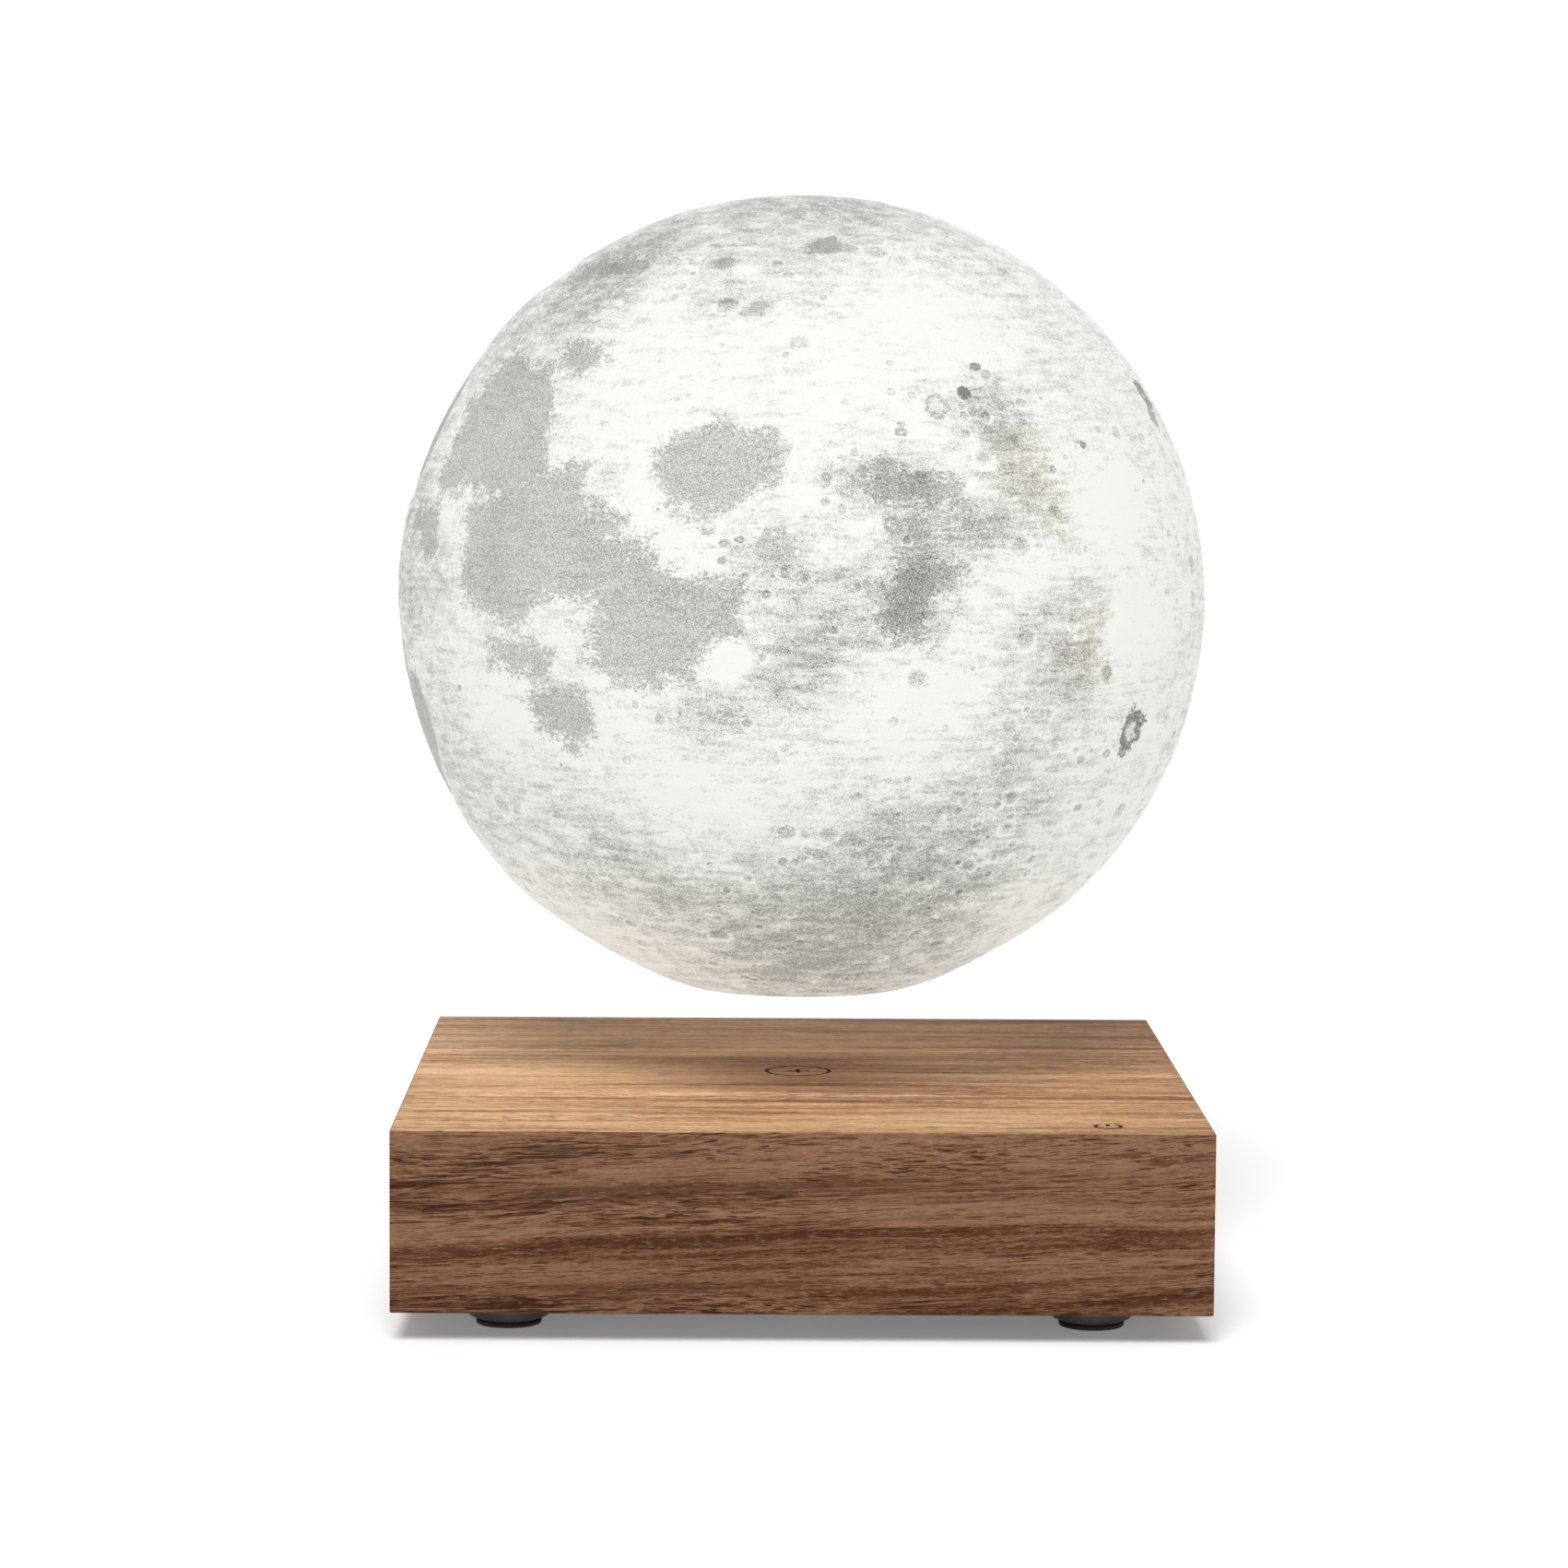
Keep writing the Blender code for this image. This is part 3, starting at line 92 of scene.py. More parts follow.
# The feet, outside of what the frame gives
CUP_BORE = 0.0038
CUP_SCREW_HOLE = 0.00205
CUP_SCREW_SEAT = 0.0015
CUP_LIP = 0.0002
CUP_FLARE_HEIGHT = 0.0011
CUP_BEND = 0.0006
PAD_ROUND = 0.0003

# The power socket
SOCKET_BARREL = 0.0055
SOCKET_BORE = 0.0032
SOCKET_PIN_HOLE = 0.00135
SOCKET_FLANGE_DEPTH = 0.0015
SOCKET_BORE_DEPTH = 0.010
SOCKET_ROUND = 0.0004
PIN_TIP = 0.0001

# The bottom cap
CAP_BASE = 0.0015
CAP_WALL = 0.0014
CAP_LIP = 0.0005
CAP_ROUND = 0.0004
TAB_HEIGHT = 0.0018
TAB_HALF_DEG = 15
SPANNER_HOLE_RADIUS = 0.0016
SPANNER_HOLE_PLACE = 0.0165

# The studio: the floor's side, the camera's sensor in millimetres, and each soft lamp's place and width
FLOOR_SIDE = 12
SENSOR_WIDTH = 36
KEY_PLACE, KEY_WIDTH_DEG = (-0.1, -0.9, 1.0), 26
LOW_PLACE, LOW_WIDTH_DEG = (0.25, -1.0, 0.02), 40

# Counts of segments
ROUND_SEGMENTS = 72
FINE_SEGMENTS = 32
EDGE_SEGMENTS = 3
MARK_SEGMENTS = 96
MARK_RIM_SEGMENTS = 12
INNER_WALL_RINGS = 8

# How strongly red, green and blue follow a lighter or darker tone of the wood
WOOD_SHADE_POWERS = (1.0, 1.3, 1.6)

# How light the wood gets from its darkest to its palest grain, as ramp place and factor
WOOD_RAMP = ((0.0, 0.4), (0.3, 0.7), (0.5, 1.0), (0.75, 1.28), (1.0, 1.55))

# Stripes in the wood: place across the grain, half width, and how much lighter or darker. On the
# top panel the place is Y, on the front board it is the height in the board's middle.
# On the top panel these are partly the wood's bands and partly painted light: the lighter stripes near the
# middle lift the moon's shade.
PANEL_STRIPES_AND_PAINTED_LIGHT = (
    (0.074, 0.006, 0.06), (0.062, 0.005, -0.08), (0.047, 0.004, 0.05), (0.033, 0.008, 0.2),
    (0.019, 0.005, -0.14), (-0.006, 0.009, 0.2), (-0.023, 0.006, -0.06), (-0.037, 0.005, 0.24),
    (-0.05, 0.004, -0.08), (-0.068, 0.015, 0.12),
)
FRONT_STRIPES = (
    (0.0375, 0.003, -0.08), (0.031, 0.004, 0.1), (0.0229, 0.0016, -0.34), (0.0186, 0.0018, 0.1),
    (0.0147, 0.0016, -0.26), (0.0098, 0.0014, -0.22),
)

# How the printed globe is turned, as X, Y and Z angles
GLOBE_TURN_DEG = (4.28, 1.19, -162.4)

# Where the ball runs in flatter to its mouth, as angles from the foot
TAPER_MIDDLE_DEG = 31
TAPER_REACH_DEG = 15

# The small craters: how many, their seed, their smallest radius and what chance adds to it, the share
# of the radius that the rim takes, how worn they are in a sea, and the least spot that is a bowl
CRATER_COUNT = 520
CRATER_SEED = 11
CRATER_RADIUS_DEG = 1.1
CRATER_SPREAD_DEG = 3.2
CRATER_RIM_SHARE = 0.22
WORN_IN_SEA = 0.75
LEAST_BOWL_DEG = 1.3

# How much wider than its radius a soft patch of each table reaches
TONE_REACH = 1.7
WARM_REACH = 1.5
CROWD_REACH = 1.4
LEAST_CROWD = 0.2

# Seas with an outline of their own, as latitude and longitude in degrees
SEA_OUTLINES = {
    "round sea of the east": (
        (20, 51.6), (22, 54), (22.8, 56.5), (23.3, 60.6), (22.2, 64), (22, 66.6), (20, 69.2), (17.3, 69.7),
        (14.8, 69), (14, 66.4), (12.4, 64), (10.8, 61.6), (10.2, 57.8), (11.6, 55.7), (13.2, 52.8),
        (16.8, 52),
    ),
    "round sea of the north": (
        (38, 14), (35, 23), (35.6, 27.8), (30.2, 30.3), (27.2, 32.2), (23.8, 32), (21.2, 33), (18.6, 34),
        (15, 31), (14.7, 24.7), (16.2, 20), (16.2, 15), (16.7, 8.8), (19.5, 5.6), (23, 7.3), (26.5, 8.2),
        (29.8, 6.5), (32.2, 9.8), (35.5, 10.7),
    ),
    "middle sea": (
        (15.9, 26.4), (17.7, 31.5), (18, 35.4), (19.8, 38.3), (18.7, 41.7), (16.7, 40.5), (13.9, 40.2),
        (12.3, 42.8), (11.3, 46.9), (9.3, 47.5), (8.4, 45), (7.7, 50.7), (5, 51.6), (1.3, 47.3), (1, 43),
        (1.3, 37.2), (1, 33.2), (-1, 31.8), (-3.8, 30.7), (-3.7, 27.8), (-2, 26), (0.2, 23.6), (1, 19.4),
        (5, 18.2), (10, 17.7), (13.7, 17.3), (15, 20.4),
    ),
    "fertile sea": (
        (7.8, 50.7), (5.8, 52), (3.7, 53.7), (2.5, 57), (2, 60.8), (1, 64), (-1.6, 64), (-4.6, 63.6),
        (-5.5, 62.4), (-6.2, 59.2), (-8.2, 57.8), (-11, 57.2), (-11.7, 55), (-11.6, 49.6), (-11, 44.8),
        (-9, 43.7), (-7.6, 41.7), (-5, 42), (-4, 43.5), (-1.5, 42), (0.4, 44.2), (2, 43.4), (4, 47.3),
    ),
    "west bay": (
        (-4, 24.4), (-4.3, 31), (-5.4, 34.3), (-10.4, 34.3), (-9.3, 31.5), (-9, 26.7), (-7.6, 24),
    ),
    "small south sea": (
        (-11.5, 31), (-10.5, 34.3), (-11, 37.7), (-12, 40.3), (-15.6, 41), (-18.2, 40), (-19.8, 36.7),
        (-18.4, 33.8), (-16.7, 31.2), (-14.7, 30),
    ),
    "west limb sea": (
        (15.7, -2.7), (14.6, 9.3), (10.8, 9), (7.2, 12), (6.5, 6.3), (10.8, -0.2),
    ),
    "sea north of the east edge": (
        (16.7, 81.2), (18.2, 83.3), (17, 87), (15.8, 88.3), (16.2, 91), (14, 95), (10.8, 95.3), (10.5, 90.3),
        (10.8, 87.7), (11.2, 82.7), (13, 80.7),
    ),
    "sea at the east edge": (
        (3.8, 84.4), (4.5, 87.2), (4.5, 93.7), (2.3, 94.6), (0, 93.5), (-1.5, 90), (-4.2, 88.4), (-7.5, 88.2),
        (-6.6, 83.3), (-4.6, 81.9), (-0.4, 82.6),
    ),
    "north strait": (
        (57, 8), (57.5, 20), (57, 30), (55.5, 37.5), (52.5, 38), (51.5, 30), (51.5, 20), (51, 8),
    ),
    "lake of dreams": (
        (37.5, 29), (39, 34), (37.5, 39.5), (34, 39), (32.8, 34), (34.2, 30),
    ),
}

# Seas drawn as circles with an uneven shore, each as latitude, longitude and radius in degrees. Most
# of them are on the side away from the camera.
ROUND_SEAS_DEG = {
    "great north west sea": (33.0, -16.0, 18.5),
    "west middle sea": (-21.0, -16.6, 11.0),
    "west small sea": (-10.0, -23.1, 8.0),
    "south west round sea": (-24.4, -38.6, 6.5),
    "western ocean, north": (32.0, -55.0, 15.0),
    "western ocean, south": (5.0, -52.0, 18.0),
    "western ring sea": (-19.4, -92.8, 5.0),
    "far side south sea": (-33.7, 163.5, 4.4),
    "north strait, west": (57.0, -14.0, 6.5),
}

# Broad changes of tone, each as latitude, longitude, radius in degrees, and how much greyer or whiter
TONES = {
    "white ground and the grey between it": (
        (35, 58, 20, -0.14), (27, 77, 12, -0.12), (12, 49, 4, -0.5), (15.5, 44.5, 3, 0.35),
        (40, 99, 10, -0.35), (11, 121, 7, -0.5), (-5, 123, 7, -0.5), (-27, 57, 11, -0.3),
        (-17, 90, 8, -0.25), (-12.5, 80, 6, -0.4), (-16.5, 57, 5, 0.75), (-16, 23, 7, -0.4),
        (-24, 45, 8, -0.2),
    ),
    "bright young craters": (
        (-8.1, 61.6, 2.4, -2.8), (16.3, 17, 1.5, -2.2), (15.8, 24.2, 1.0, -2.0), (14.7, 10.5, 1.0, -1.8),
        (8.5, 36.5, 0.5, -1.2),
    ),
    "grey west and north": (
        (16, -12, 16, 0.7), (4, 11.5, 6, 0.55), (48, 4, 18, 0.6), (56, 30, 9, 0.6), (43, 30, 9, 0.4),
        (76, 50, 19, 0.6), (66, 105, 16, 0.45), (53, 68, 11, 0.35), (40, 125, 16, 0.15),
    ),
    "plains round the edge seas": (
        (5.5, 67.5, 5, 0.55), (-4, 72, 9, 0.45), (-5, 80, 8, 0.4), (-14, 68, 9, 0.3), (13, 87, 5.5, 0.9),
        (14.5, 79, 3.5, 0.5), (7.5, 96, 4, 0.8), (6, 88, 5, 0.75), (0, 88, 5, 0.9), (-5, 85, 4, 0.4),
    ),
    "speckled east": (
        (23, 102, 6, 0.7), (12, 104, 6, 0.8), (-4, 113, 6, 0.6), (-7, 105, 5, 0.5), (-13, 113, 6, 0.5),
        (-23, 107, 10, 0.38), (0, 142, 16, -0.1),
    ),
    # The wide grey patch at (-66, 75) is partly print and partly painted shade on the ball's underside.
    "mottled south, and painted shade at the foot": (
        (-38, 92, 15, 0.58), (-50, 88, 17, 0.25), (-44, 62, 15, 0.35), (-36, 36, 13, 0.5),
        (-66, 75, 22, 0.75), (-24, 8, 15, 0.4),
    ),
    "small lakes and craters": (
        (42.8, 66, 1.7, 0.8), (52.4, 57.2, 1.9, 1.0), (44, 59.5, 3.5, 0.5),
    ),
    "far side and west edge": (
        (5, 175, 40, 0.2), (0, 0, 9, 0.5), (22, -125, 18, 0.4), (-25, -122, 14, 0.35), (-4, -152, 11, 0.45),
        (48, -98, 14, 0.35), (-6, -131, 2.3, -2.2), (34, -150, 1.6, -2.0),
    ),
}

# Ground crowded with small craters, each as latitude, longitude, radius in degrees, and how crowded
CRATERED_GROUND = {
    "south and west": (
        (-44, 93, 24, 1.0), (-40, 50, 16, 0.4),
    ),
    "round the edge seas": (
        (5, 67.5, 7, 1.0), (25, 97, 11, 0.8), (9, 106, 9, 0.6), (-9, 113, 11, 0.6), (14, 80, 6, 0.8),
    ),
    "north and east": (
        (50, 62, 14, 0.6), (-13, 46, 6, 0.8), (52, 110, 18, 0.4), (-22, 120, 14, 0.4),
    ),
    "far side": (
        (0, 180, 50, 0.9), (12, -118, 48, 0.85), (0, 140, 14, 0.6), (-45, -100, 45, 0.9),
    ),
}

# Warm brown tints, each as latitude, longitude, radius in degrees, and strength
WARM_TINTS = {
    "right of the edge seas": (
        (16, 107, 6, 0.8), (-7, 116, 7, 0.9), (6, 110, 5, 0.8),
    ),
}

# Small dark features, each as latitude, longitude, radius in degrees, share of the radius that is
# bright inside, darkness, and how flat the feature is from north to south
DARK_SPOTS = {
    "far north": (
        (56.0, 80.6, 2.9, 0.0, 1.35, 1.2), (55.4, 85.6, 1.5, 0.0, 0.9, 1.8),
        (53.6, 75.0, 1.8, 0.0, 0.7, 1.4), (52.4, 57.2, 1.5, 0.0, 0.9, 1.2),
        (43.0, 66.2, 1.3, 0.0, 1.0, 1.5),
    ),
    "east limb": (
        (-20.4, 127.3, 2.7, 0.42, 1.9, 0.85), (27.5, 146.3, 2.6, 0.0, 1.6, 0.9),
        (24.2, 144.0, 1.6, 0.0, 1.2, 0.8),
    ),
    "round the rings": (
        (27.0, 98.1, 1.05, 0.0, 1.9, 1.0), (25.3, 93.0, 1.75, 0.68, 1.25, 1.0),
        (24.3, 98.9, 0.8, 0.0, 1.2, 1.4), (31.2, 101.4, 0.95, 0.0, 1.5, 1.4),
        (29.9, 103.0, 0.9, 0.0, 0.9, 1.2), (28.6, 104.2, 0.7, 0.0, 0.9, 1.3),
        (25.1, 103.8, 0.85, 0.0, 1.2, 1.3), (22.7, 106.8, 0.8, 0.0, 1.1, 1.6),
        (20.1, 104.4, 0.9, 0.0, 1.4, 1.2),
    ),
    "edge sea and the dots by it": (
        (22.6, 87.1, 0.7, 0.0, 0.9, 1.5), (21.4, 86.9, 0.9, 0.0, 1.0, 1.5),
        (15.1, 88.9, 1.1, 0.0, 1.6, 1.1), (17.0, 84.0, 1.5, 0.0, 1.2, 1.4),
        (14.4, 79.8, 0.75, 0.0, 1.0, 1.1), (13.3, 78.3, 1.2, 0.35, 1.0, 1.8),
        (15.5, 75.8, 0.75, 0.0, 1.0, 1.1), (8.4, 84.3, 1.35, 0.5, 1.3, 1.0),
        (8.6, 95.0, 1.0, 0.0, 1.2, 0.8),
    ),
    "dash in the far east": (
        (19.4, 117.3, 0.8, 0.0, 1.5, 1.4), (19.7, 116.2, 0.7, 0.0, 1.0, 2.6),
    ),
    "south east": (
        (-27.9, 79.2, 0.75, 0.0, 1.0, 1.5), (-26.4, 102.4, 1.3, 0.25, 1.0, 0.8),
        (-24.2, 116.6, 0.8, 0.0, 1.0, 1.4), (-23.4, 122.4, 0.7, 0.0, 1.0, 1.2),
        (-31.6, 120.4, 0.8, 0.0, 1.1, 1.5),
    ),
    "south": (
        (-34.0, 86.0, 1.4, 0.0, 0.9, 1.1), (-36.2, 88.4, 1.0, 0.0, 0.8, 1.1),
        (-31.4, 89.6, 1.3, 0.0, 0.8, 2.0), (-37.6, 79.6, 0.8, 0.0, 1.1, 1.3),
        (-46.4, 78.0, 0.8, 0.0, 1.1, 1.3), (-48.6, 80.0, 1.3, 0.0, 0.9, 1.5),
        (-52.9, 73.1, 1.2, 0.0, 1.1, 1.3), (-50.4, 96.2, 1.0, 0.0, 1.0, 1.1),
        (-50.8, 102.0, 1.6, 0.0, 0.8, 1.1), (-42.4, 97.4, 0.8, 0.0, 0.8, 1.4),
    ),
    "mottled ground between the seas": (
        (21.6, 68.0, 1.5, 0.5, 0.9, 1.2), (7.1, 61.8, 0.8, 0.0, 1.0, 1.6), (7.4, 63.8, 0.7, 0.0, 1.1, 1.5),
        (4.8, 61.5, 0.6, 0.0, 1.1, 1.2), (6.3, 67.6, 1.7, 0.4, 1.0, 1.0), (6.1, 70.1, 0.9, 0.0, 1.0, 1.0),
    ),
    "warm ground": (
        (10.3, 109.0, 1.0, 0.0, 1.2, 1.2), (-12.0, 118.4, 1.1, 0.0, 1.1, 0.9),
    ),
}


# Colours and settings

def seen(red, green, blue):
    """A colour as the eye sees it, from 0 to 255, as the plain light that materials hold."""
    shares = (red / 255, green / 255, blue / 255)
    return [share / 12.92 if share <= 0.04045 else ((share + 0.055) / 1.055) ** 2.4 for share in shares]


def length_setting(name, default, description):
    return bpy.props.FloatProperty(
        name=name, default=default, description=description, subtype="DISTANCE", unit="LENGTH", precision=4)


def colour_setting(name, default, description):
    return bpy.props.FloatVectorProperty(
        name=name, default=default, description=description, subtype="COLOR", size=3, min=0, max=1)


def angle_setting(name, degrees, description):
    return bpy.props.FloatProperty(
        name=name, default=math.radians(degrees), description=description, subtype="ANGLE", unit="ROTATION")


def number_setting(name, default, description):
    return bpy.props.FloatProperty(name=name, default=default, description=description, min=0)


class LampCaseSettings(bpy.types.PropertyGroup):
    """The walnut case and its feet"""

    edge_round: length_setting("Edge round", 0.0005, "Radius of the boards' lower edges")
    tip_round: length_setting("Tip round", 0.0001, "Radius of the boards' thin upper edges")
    panel_round: length_setting("Panel round", 0.0002, "Radius of the top panel's edges")
    grain_rise: angle_setting("Grain rise", 2.4, "How steeply the front board's grain rises to the right")
    side_wood: colour_setting("Side wood", seen(124, 87, 63), "Middle tone of the boards")
    # The top panel's wood is far lighter than the boards': partly its own tone, partly painted light where
    # the light from above falls on it.
    top_wood_with_painted_light: colour_setting("Top wood", seen(213, 163, 120), "Middle tone of the top panel")
    engraving: colour_setting("Engraving", seen(36, 24, 18), "Burnt colour of the engraved marks")
    cup_colour: colour_setting("Foot cups", seen(92, 91, 87), "Colour of the plastic cups")
    pad_colour: colour_setting("Foot pads", seen(58, 51, 43), "Colour of the rubber pads")


class LampMoonSettings(bpy.types.PropertyGroup):
    """The printed moon"""

    segments: bpy.props.IntProperty(
        name="Segments", default=456, min=48, description="Faces round the moon's equator")
    rings: bpy.props.IntProperty(
        name="Rings", default=218, min=24, description="Faces from pole to pole")
    crater_depth: length_setting("Crater depth", 0.00022, "Depth of the largest small craters")
    sea_depth: length_setting("Sea depth", 0.0005, "How far the seas lie under the highlands")
    ground_height: length_setting("Ground height", 0.0005, "Height of the uneven ground")
    foot_taper: length_setting("Foot taper", 0.0007, "How much flatter the ball runs in to its mouth")
    highland: colour_setting("Highlands", seen(251, 252, 247), "Colour of the bright ground")
    sea: colour_setting("Seas", seen(200, 201, 196), "Colour of the seas")
    dark: colour_setting("Dark floors", seen(104, 105, 101), "Colour of the darkest crater floors")
    light_within: bpy.props.FloatProperty(
        name="Light within", default=0.62, min=0, max=1, subtype="FACTOR",
        description="Share of the print's brightness that comes from light inside the thin shell")


class LampStageSettings(bpy.types.PropertyGroup):
    """The camera, the lamps and the floor"""

    camera_place: bpy.props.FloatVectorProperty(
        name="Camera place", default=(-0.0149, -1.0626, 0.2052), subtype="TRANSLATION", unit="LENGTH",
        description="Where the camera stands")
    camera_yaw: angle_setting("Camera yaw", -0.613, "Turn to the left")
    camera_pitch: angle_setting("Camera pitch", -5.186, "Tilt upwards")
    camera_roll: angle_setting("Camera roll", -0.38, "Roll")
    lens: bpy.props.FloatProperty(
        name="Lens", default=110.4, description="Focal length on a 36 mm sensor, in millimetres")
    sky: number_setting("Sky light", 0.24, "Strength of the even light from all round")
    key: number_setting("Key light", 2.08, "Strength of the wide soft light from above the camera")
    low: number_setting("Low light", 0.5, "Strength of the wide soft light near the floor")
    floor: colour_setting("Floor", (0.86, 0.86, 0.86), "Colour of the pale floor")
    floor_lift: number_setting("Floor lift", 1.2, "How many times lighter than white the camera sees it")
    floor_glow: number_setting("Floor glow", 0.18, "How much light the camera sees in the floor's shadows")


SETTINGS = {
    "lamp_case": LampCaseSettings,
    "lamp_moon": LampMoonSettings,
    "lamp_stage": LampStageSettings,
}


# Modelling helpers

def clear_selection():
    if bpy.context.mode != "OBJECT":
        bpy.ops.object.mode_set(mode="OBJECT")
    bpy.ops.object.select_all(action="DESELECT")


def activate(piece):
    clear_selection()
    piece.select_set(True)
    bpy.context.view_layer.objects.active = piece


def begin(name):
    """Names the primitive just added, takes its place into its mesh and opens it for modelling."""
    piece = bpy.context.object
    piece.name = name
    piece.data.name = name
    bpy.ops.object.transform_apply(location=True, rotation=True, scale=True)
    bpy.ops.object.mode_set(mode="EDIT")
    bpy.ops.mesh.select_all(action="SELECT")
    return piece


def close():
    bpy.ops.object.mode_set(mode="OBJECT")


def pick(piece, kind, test):
    """In edit mode, selects the verts, edges or faces that pass a test, and only those."""
    bpy.ops.mesh.select_mode(type={"verts": "VERT", "edges": "EDGE", "faces": "FACE"}[kind])
    bpy.ops.mesh.select_all(action="DESELECT")
    shape = bmesh.from_edit_mesh(piece.data)
    for item in getattr(shape, kind):
        if test(item):
            item.select_set(True)
    shape.select_flush_mode()
    bmesh.update_edit_mesh(piece.data)


def box(name, low, high):
    """A cube between two corners, open for modelling."""
    clear_selection()
    low, high = Vector(low), Vector(high)
    bpy.ops.mesh.primitive_cube_add(size=1, location=(low + high) / 2, scale=high - low)
    return begin(name)


def rod(name, radius, length, middle, turn=(0, 0, 0), segments=FINE_SEGMENTS):
    """A cylinder, open for modelling."""
    clear_selection()
    bpy.ops.mesh.primitive_cylinder_add(
        vertices=segments, radius=radius, depth=length, location=middle, rotation=turn)
    return begin(name)


def engraved_ring(name, radius, middle):
    """A thin torus half sunk in the top panel, open for modelling."""
    clear_selection()
    bpy.ops.mesh.primitive_torus_add(
        major_radius=radius, minor_radius=MARK_LINE, major_segments=MARK_SEGMENTS,
        minor_segments=MARK_RIM_SEGMENTS, location=(*middle, CASE_TOP))
    return begin(name)


def extrude_rings(profile):
    """Extrudes the chosen ring of edges along a profile of (radius, height), from its first point."""
    for (radius, height), (next_radius, next_height) in zip(profile, profile[1:]):
        bpy.ops.mesh.extrude_edges_move(TRANSFORM_OT_translate={"value": (0, 0, next_height - height)})
        share = next_radius / radius
        bpy.ops.transform.resize(value=(share, share, 1), center_override=(0, 0, next_height))


def turned(name, profile, segments=ROUND_SEGMENTS, hole=False):
    """A round piece: a circle, extruded and resized along a profile of (radius, height) points.

    With a hole, the last circle is bridged to the first. Without one, both ends are filled.
    """
    clear_selection()
    radius, height = profile[0]
    bpy.ops.mesh.primitive_circle_add(vertices=segments, radius=radius, location=(0, 0, height))
    piece = begin(name)
    bpy.ops.mesh.select_mode(type="EDGE")
    extrude_rings(profile)
    if hole:
        pick(piece, "edges", lambda edge: len(edge.link_faces) == 1)
        bpy.ops.mesh.bridge_edge_loops()
    else:
        bpy.ops.mesh.select_all(action="SELECT")
        bpy.ops.mesh.fill_holes(sides=0)
    close()
    return piece


def cut_away(piece, test):
    """Takes away the faces that pass a test and closes the holes."""
    activate(piece)
    bpy.ops.object.mode_set(mode="EDIT")
    pick(piece, "faces", test)
    bpy.ops.mesh.delete(type="FACE")
    bpy.ops.mesh.select_all(action="SELECT")
    bpy.ops.mesh.fill_holes(sides=0)
    close()


def rounded(outer, corner, start_deg, end_deg, steps=4):
    """Profile points on a small arc round a corner, which is given as (radius, height)."""
    turns = [math.radians(start_deg + (end_deg - start_deg) * step / steps) for step in range(steps + 1)]
    return [(outer[0] + corner * math.cos(turn), outer[1] + corner * math.sin(turn)) for turn in turns]


def outwards(piece):
    """Turns every face of a piece outwards."""
    activate(piece)
    bpy.ops.object.mode_set(mode="EDIT")
    bpy.ops.mesh.select_all(action="SELECT")
    bpy.ops.mesh.normals_make_consistent(inside=False)
    bpy.ops.object.mode_set(mode="OBJECT")


def carve(piece, cutter, operation="DIFFERENCE"):
    """Cuts one closed mesh out of another, or adds it. The new faces keep the cutter's material, if any."""
    outwards(cutter)
    activate(piece)
    modifier = piece.modifiers.new("carve", "BOOLEAN")
    modifier.operation = operation
    modifier.solver = "EXACT"
    modifier.object = cutter
    if cutter.data.materials:
        modifier.material_mode = "TRANSFER"
    bpy.ops.object.modifier_apply(modifier=modifier.name)
    bpy.data.objects.remove(cutter, do_unlink=True)


def joined(pieces, name):
    """Several meshes as one object."""
    clear_selection()
    for part in pieces:
        part.select_set(True)
    bpy.context.view_layer.objects.active = pieces[0]
    bpy.ops.object.join()
    pieces[0].name = name
    return pieces[0]


def copied(piece, name, matrix):
    """A copy with its own mesh, put in its place."""
    copy = piece.copy()
    copy.data = piece.data.copy()
    copy.name = name
    copy.data.name = name
    copy.data.transform(matrix)
    bpy.context.scene.collection.objects.link(copy)
    return copy


def finished(piece, body, nodes=(), material=None, smooth_deg=30):
    """Smooths a piece, gives it its material and says what it rides on and stands for."""
    outwards(piece)
    bpy.ops.object.shade_smooth_by_angle(angle=math.radians(smooth_deg))
    if material is not None:
        piece.data.materials.clear()
        piece.data.materials.append(material)
    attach(piece, body)
    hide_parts(*nodes)


# Materials

class Nodes:
    """A tree whose nodes are added and linked in the order in which they work."""

    def __init__(self, tree):
        self.tree = tree

    def join(self, value, socket):
        if isinstance(value, bpy.types.NodeSocket):
            self.tree.links.new(value, socket)
        else:
            socket.default_value = value

    def add(self, kind, inputs=None, **settings):
        node = self.tree.nodes.new(kind)
        for name, value in settings.items():
            setattr(node, name, value)
        for name, value in (inputs or {}).items():
            self.join(value, node.inputs[name])
        return node

    def maths(self, operation, first, second=0.0, clamp=False):
        node = self.add("ShaderNodeMath", {0: first, 1: second}, operation=operation, use_clamp=clamp)
        return node.outputs[0]

    def plus(self, first, *others):
        for other in others:
            first = self.maths("ADD", first, other)
        return first

    def minus(self, first, second):
        return self.maths("SUBTRACT", first, second)

    def times(self, first, second):
        return self.maths("MULTIPLY", first, second)

    def vector(self, operation, first, second=(0, 0, 0)):
        return self.add("ShaderNodeVectorMath", {0: first, 1: second}, operation=operation).outputs[0]

    def measure(self, operation, first, second=(0, 0, 0)):
        """A number from vectors, such as a length or a dot product."""
        node = self.add("ShaderNodeVectorMath", {0: first, 1: second}, operation=operation)
        return node.outputs["Value"]

    def around(self, value, strength):
        """A noise moved to lie around zero and made stronger or weaker."""
        return self.times(self.minus(value, 0.5), strength)

    def between(self, value, low, high, start=0.0, end=1.0, kind="SMOOTHSTEP"):
        """Goes from start to end while a value goes from low to high."""
        inputs = {"Value": value, "From Min": low, "From Max": high, "To Min": start, "To Max": end}
        return self.add("ShaderNodeMapRange", inputs, interpolation_type=kind).outputs["Result"]


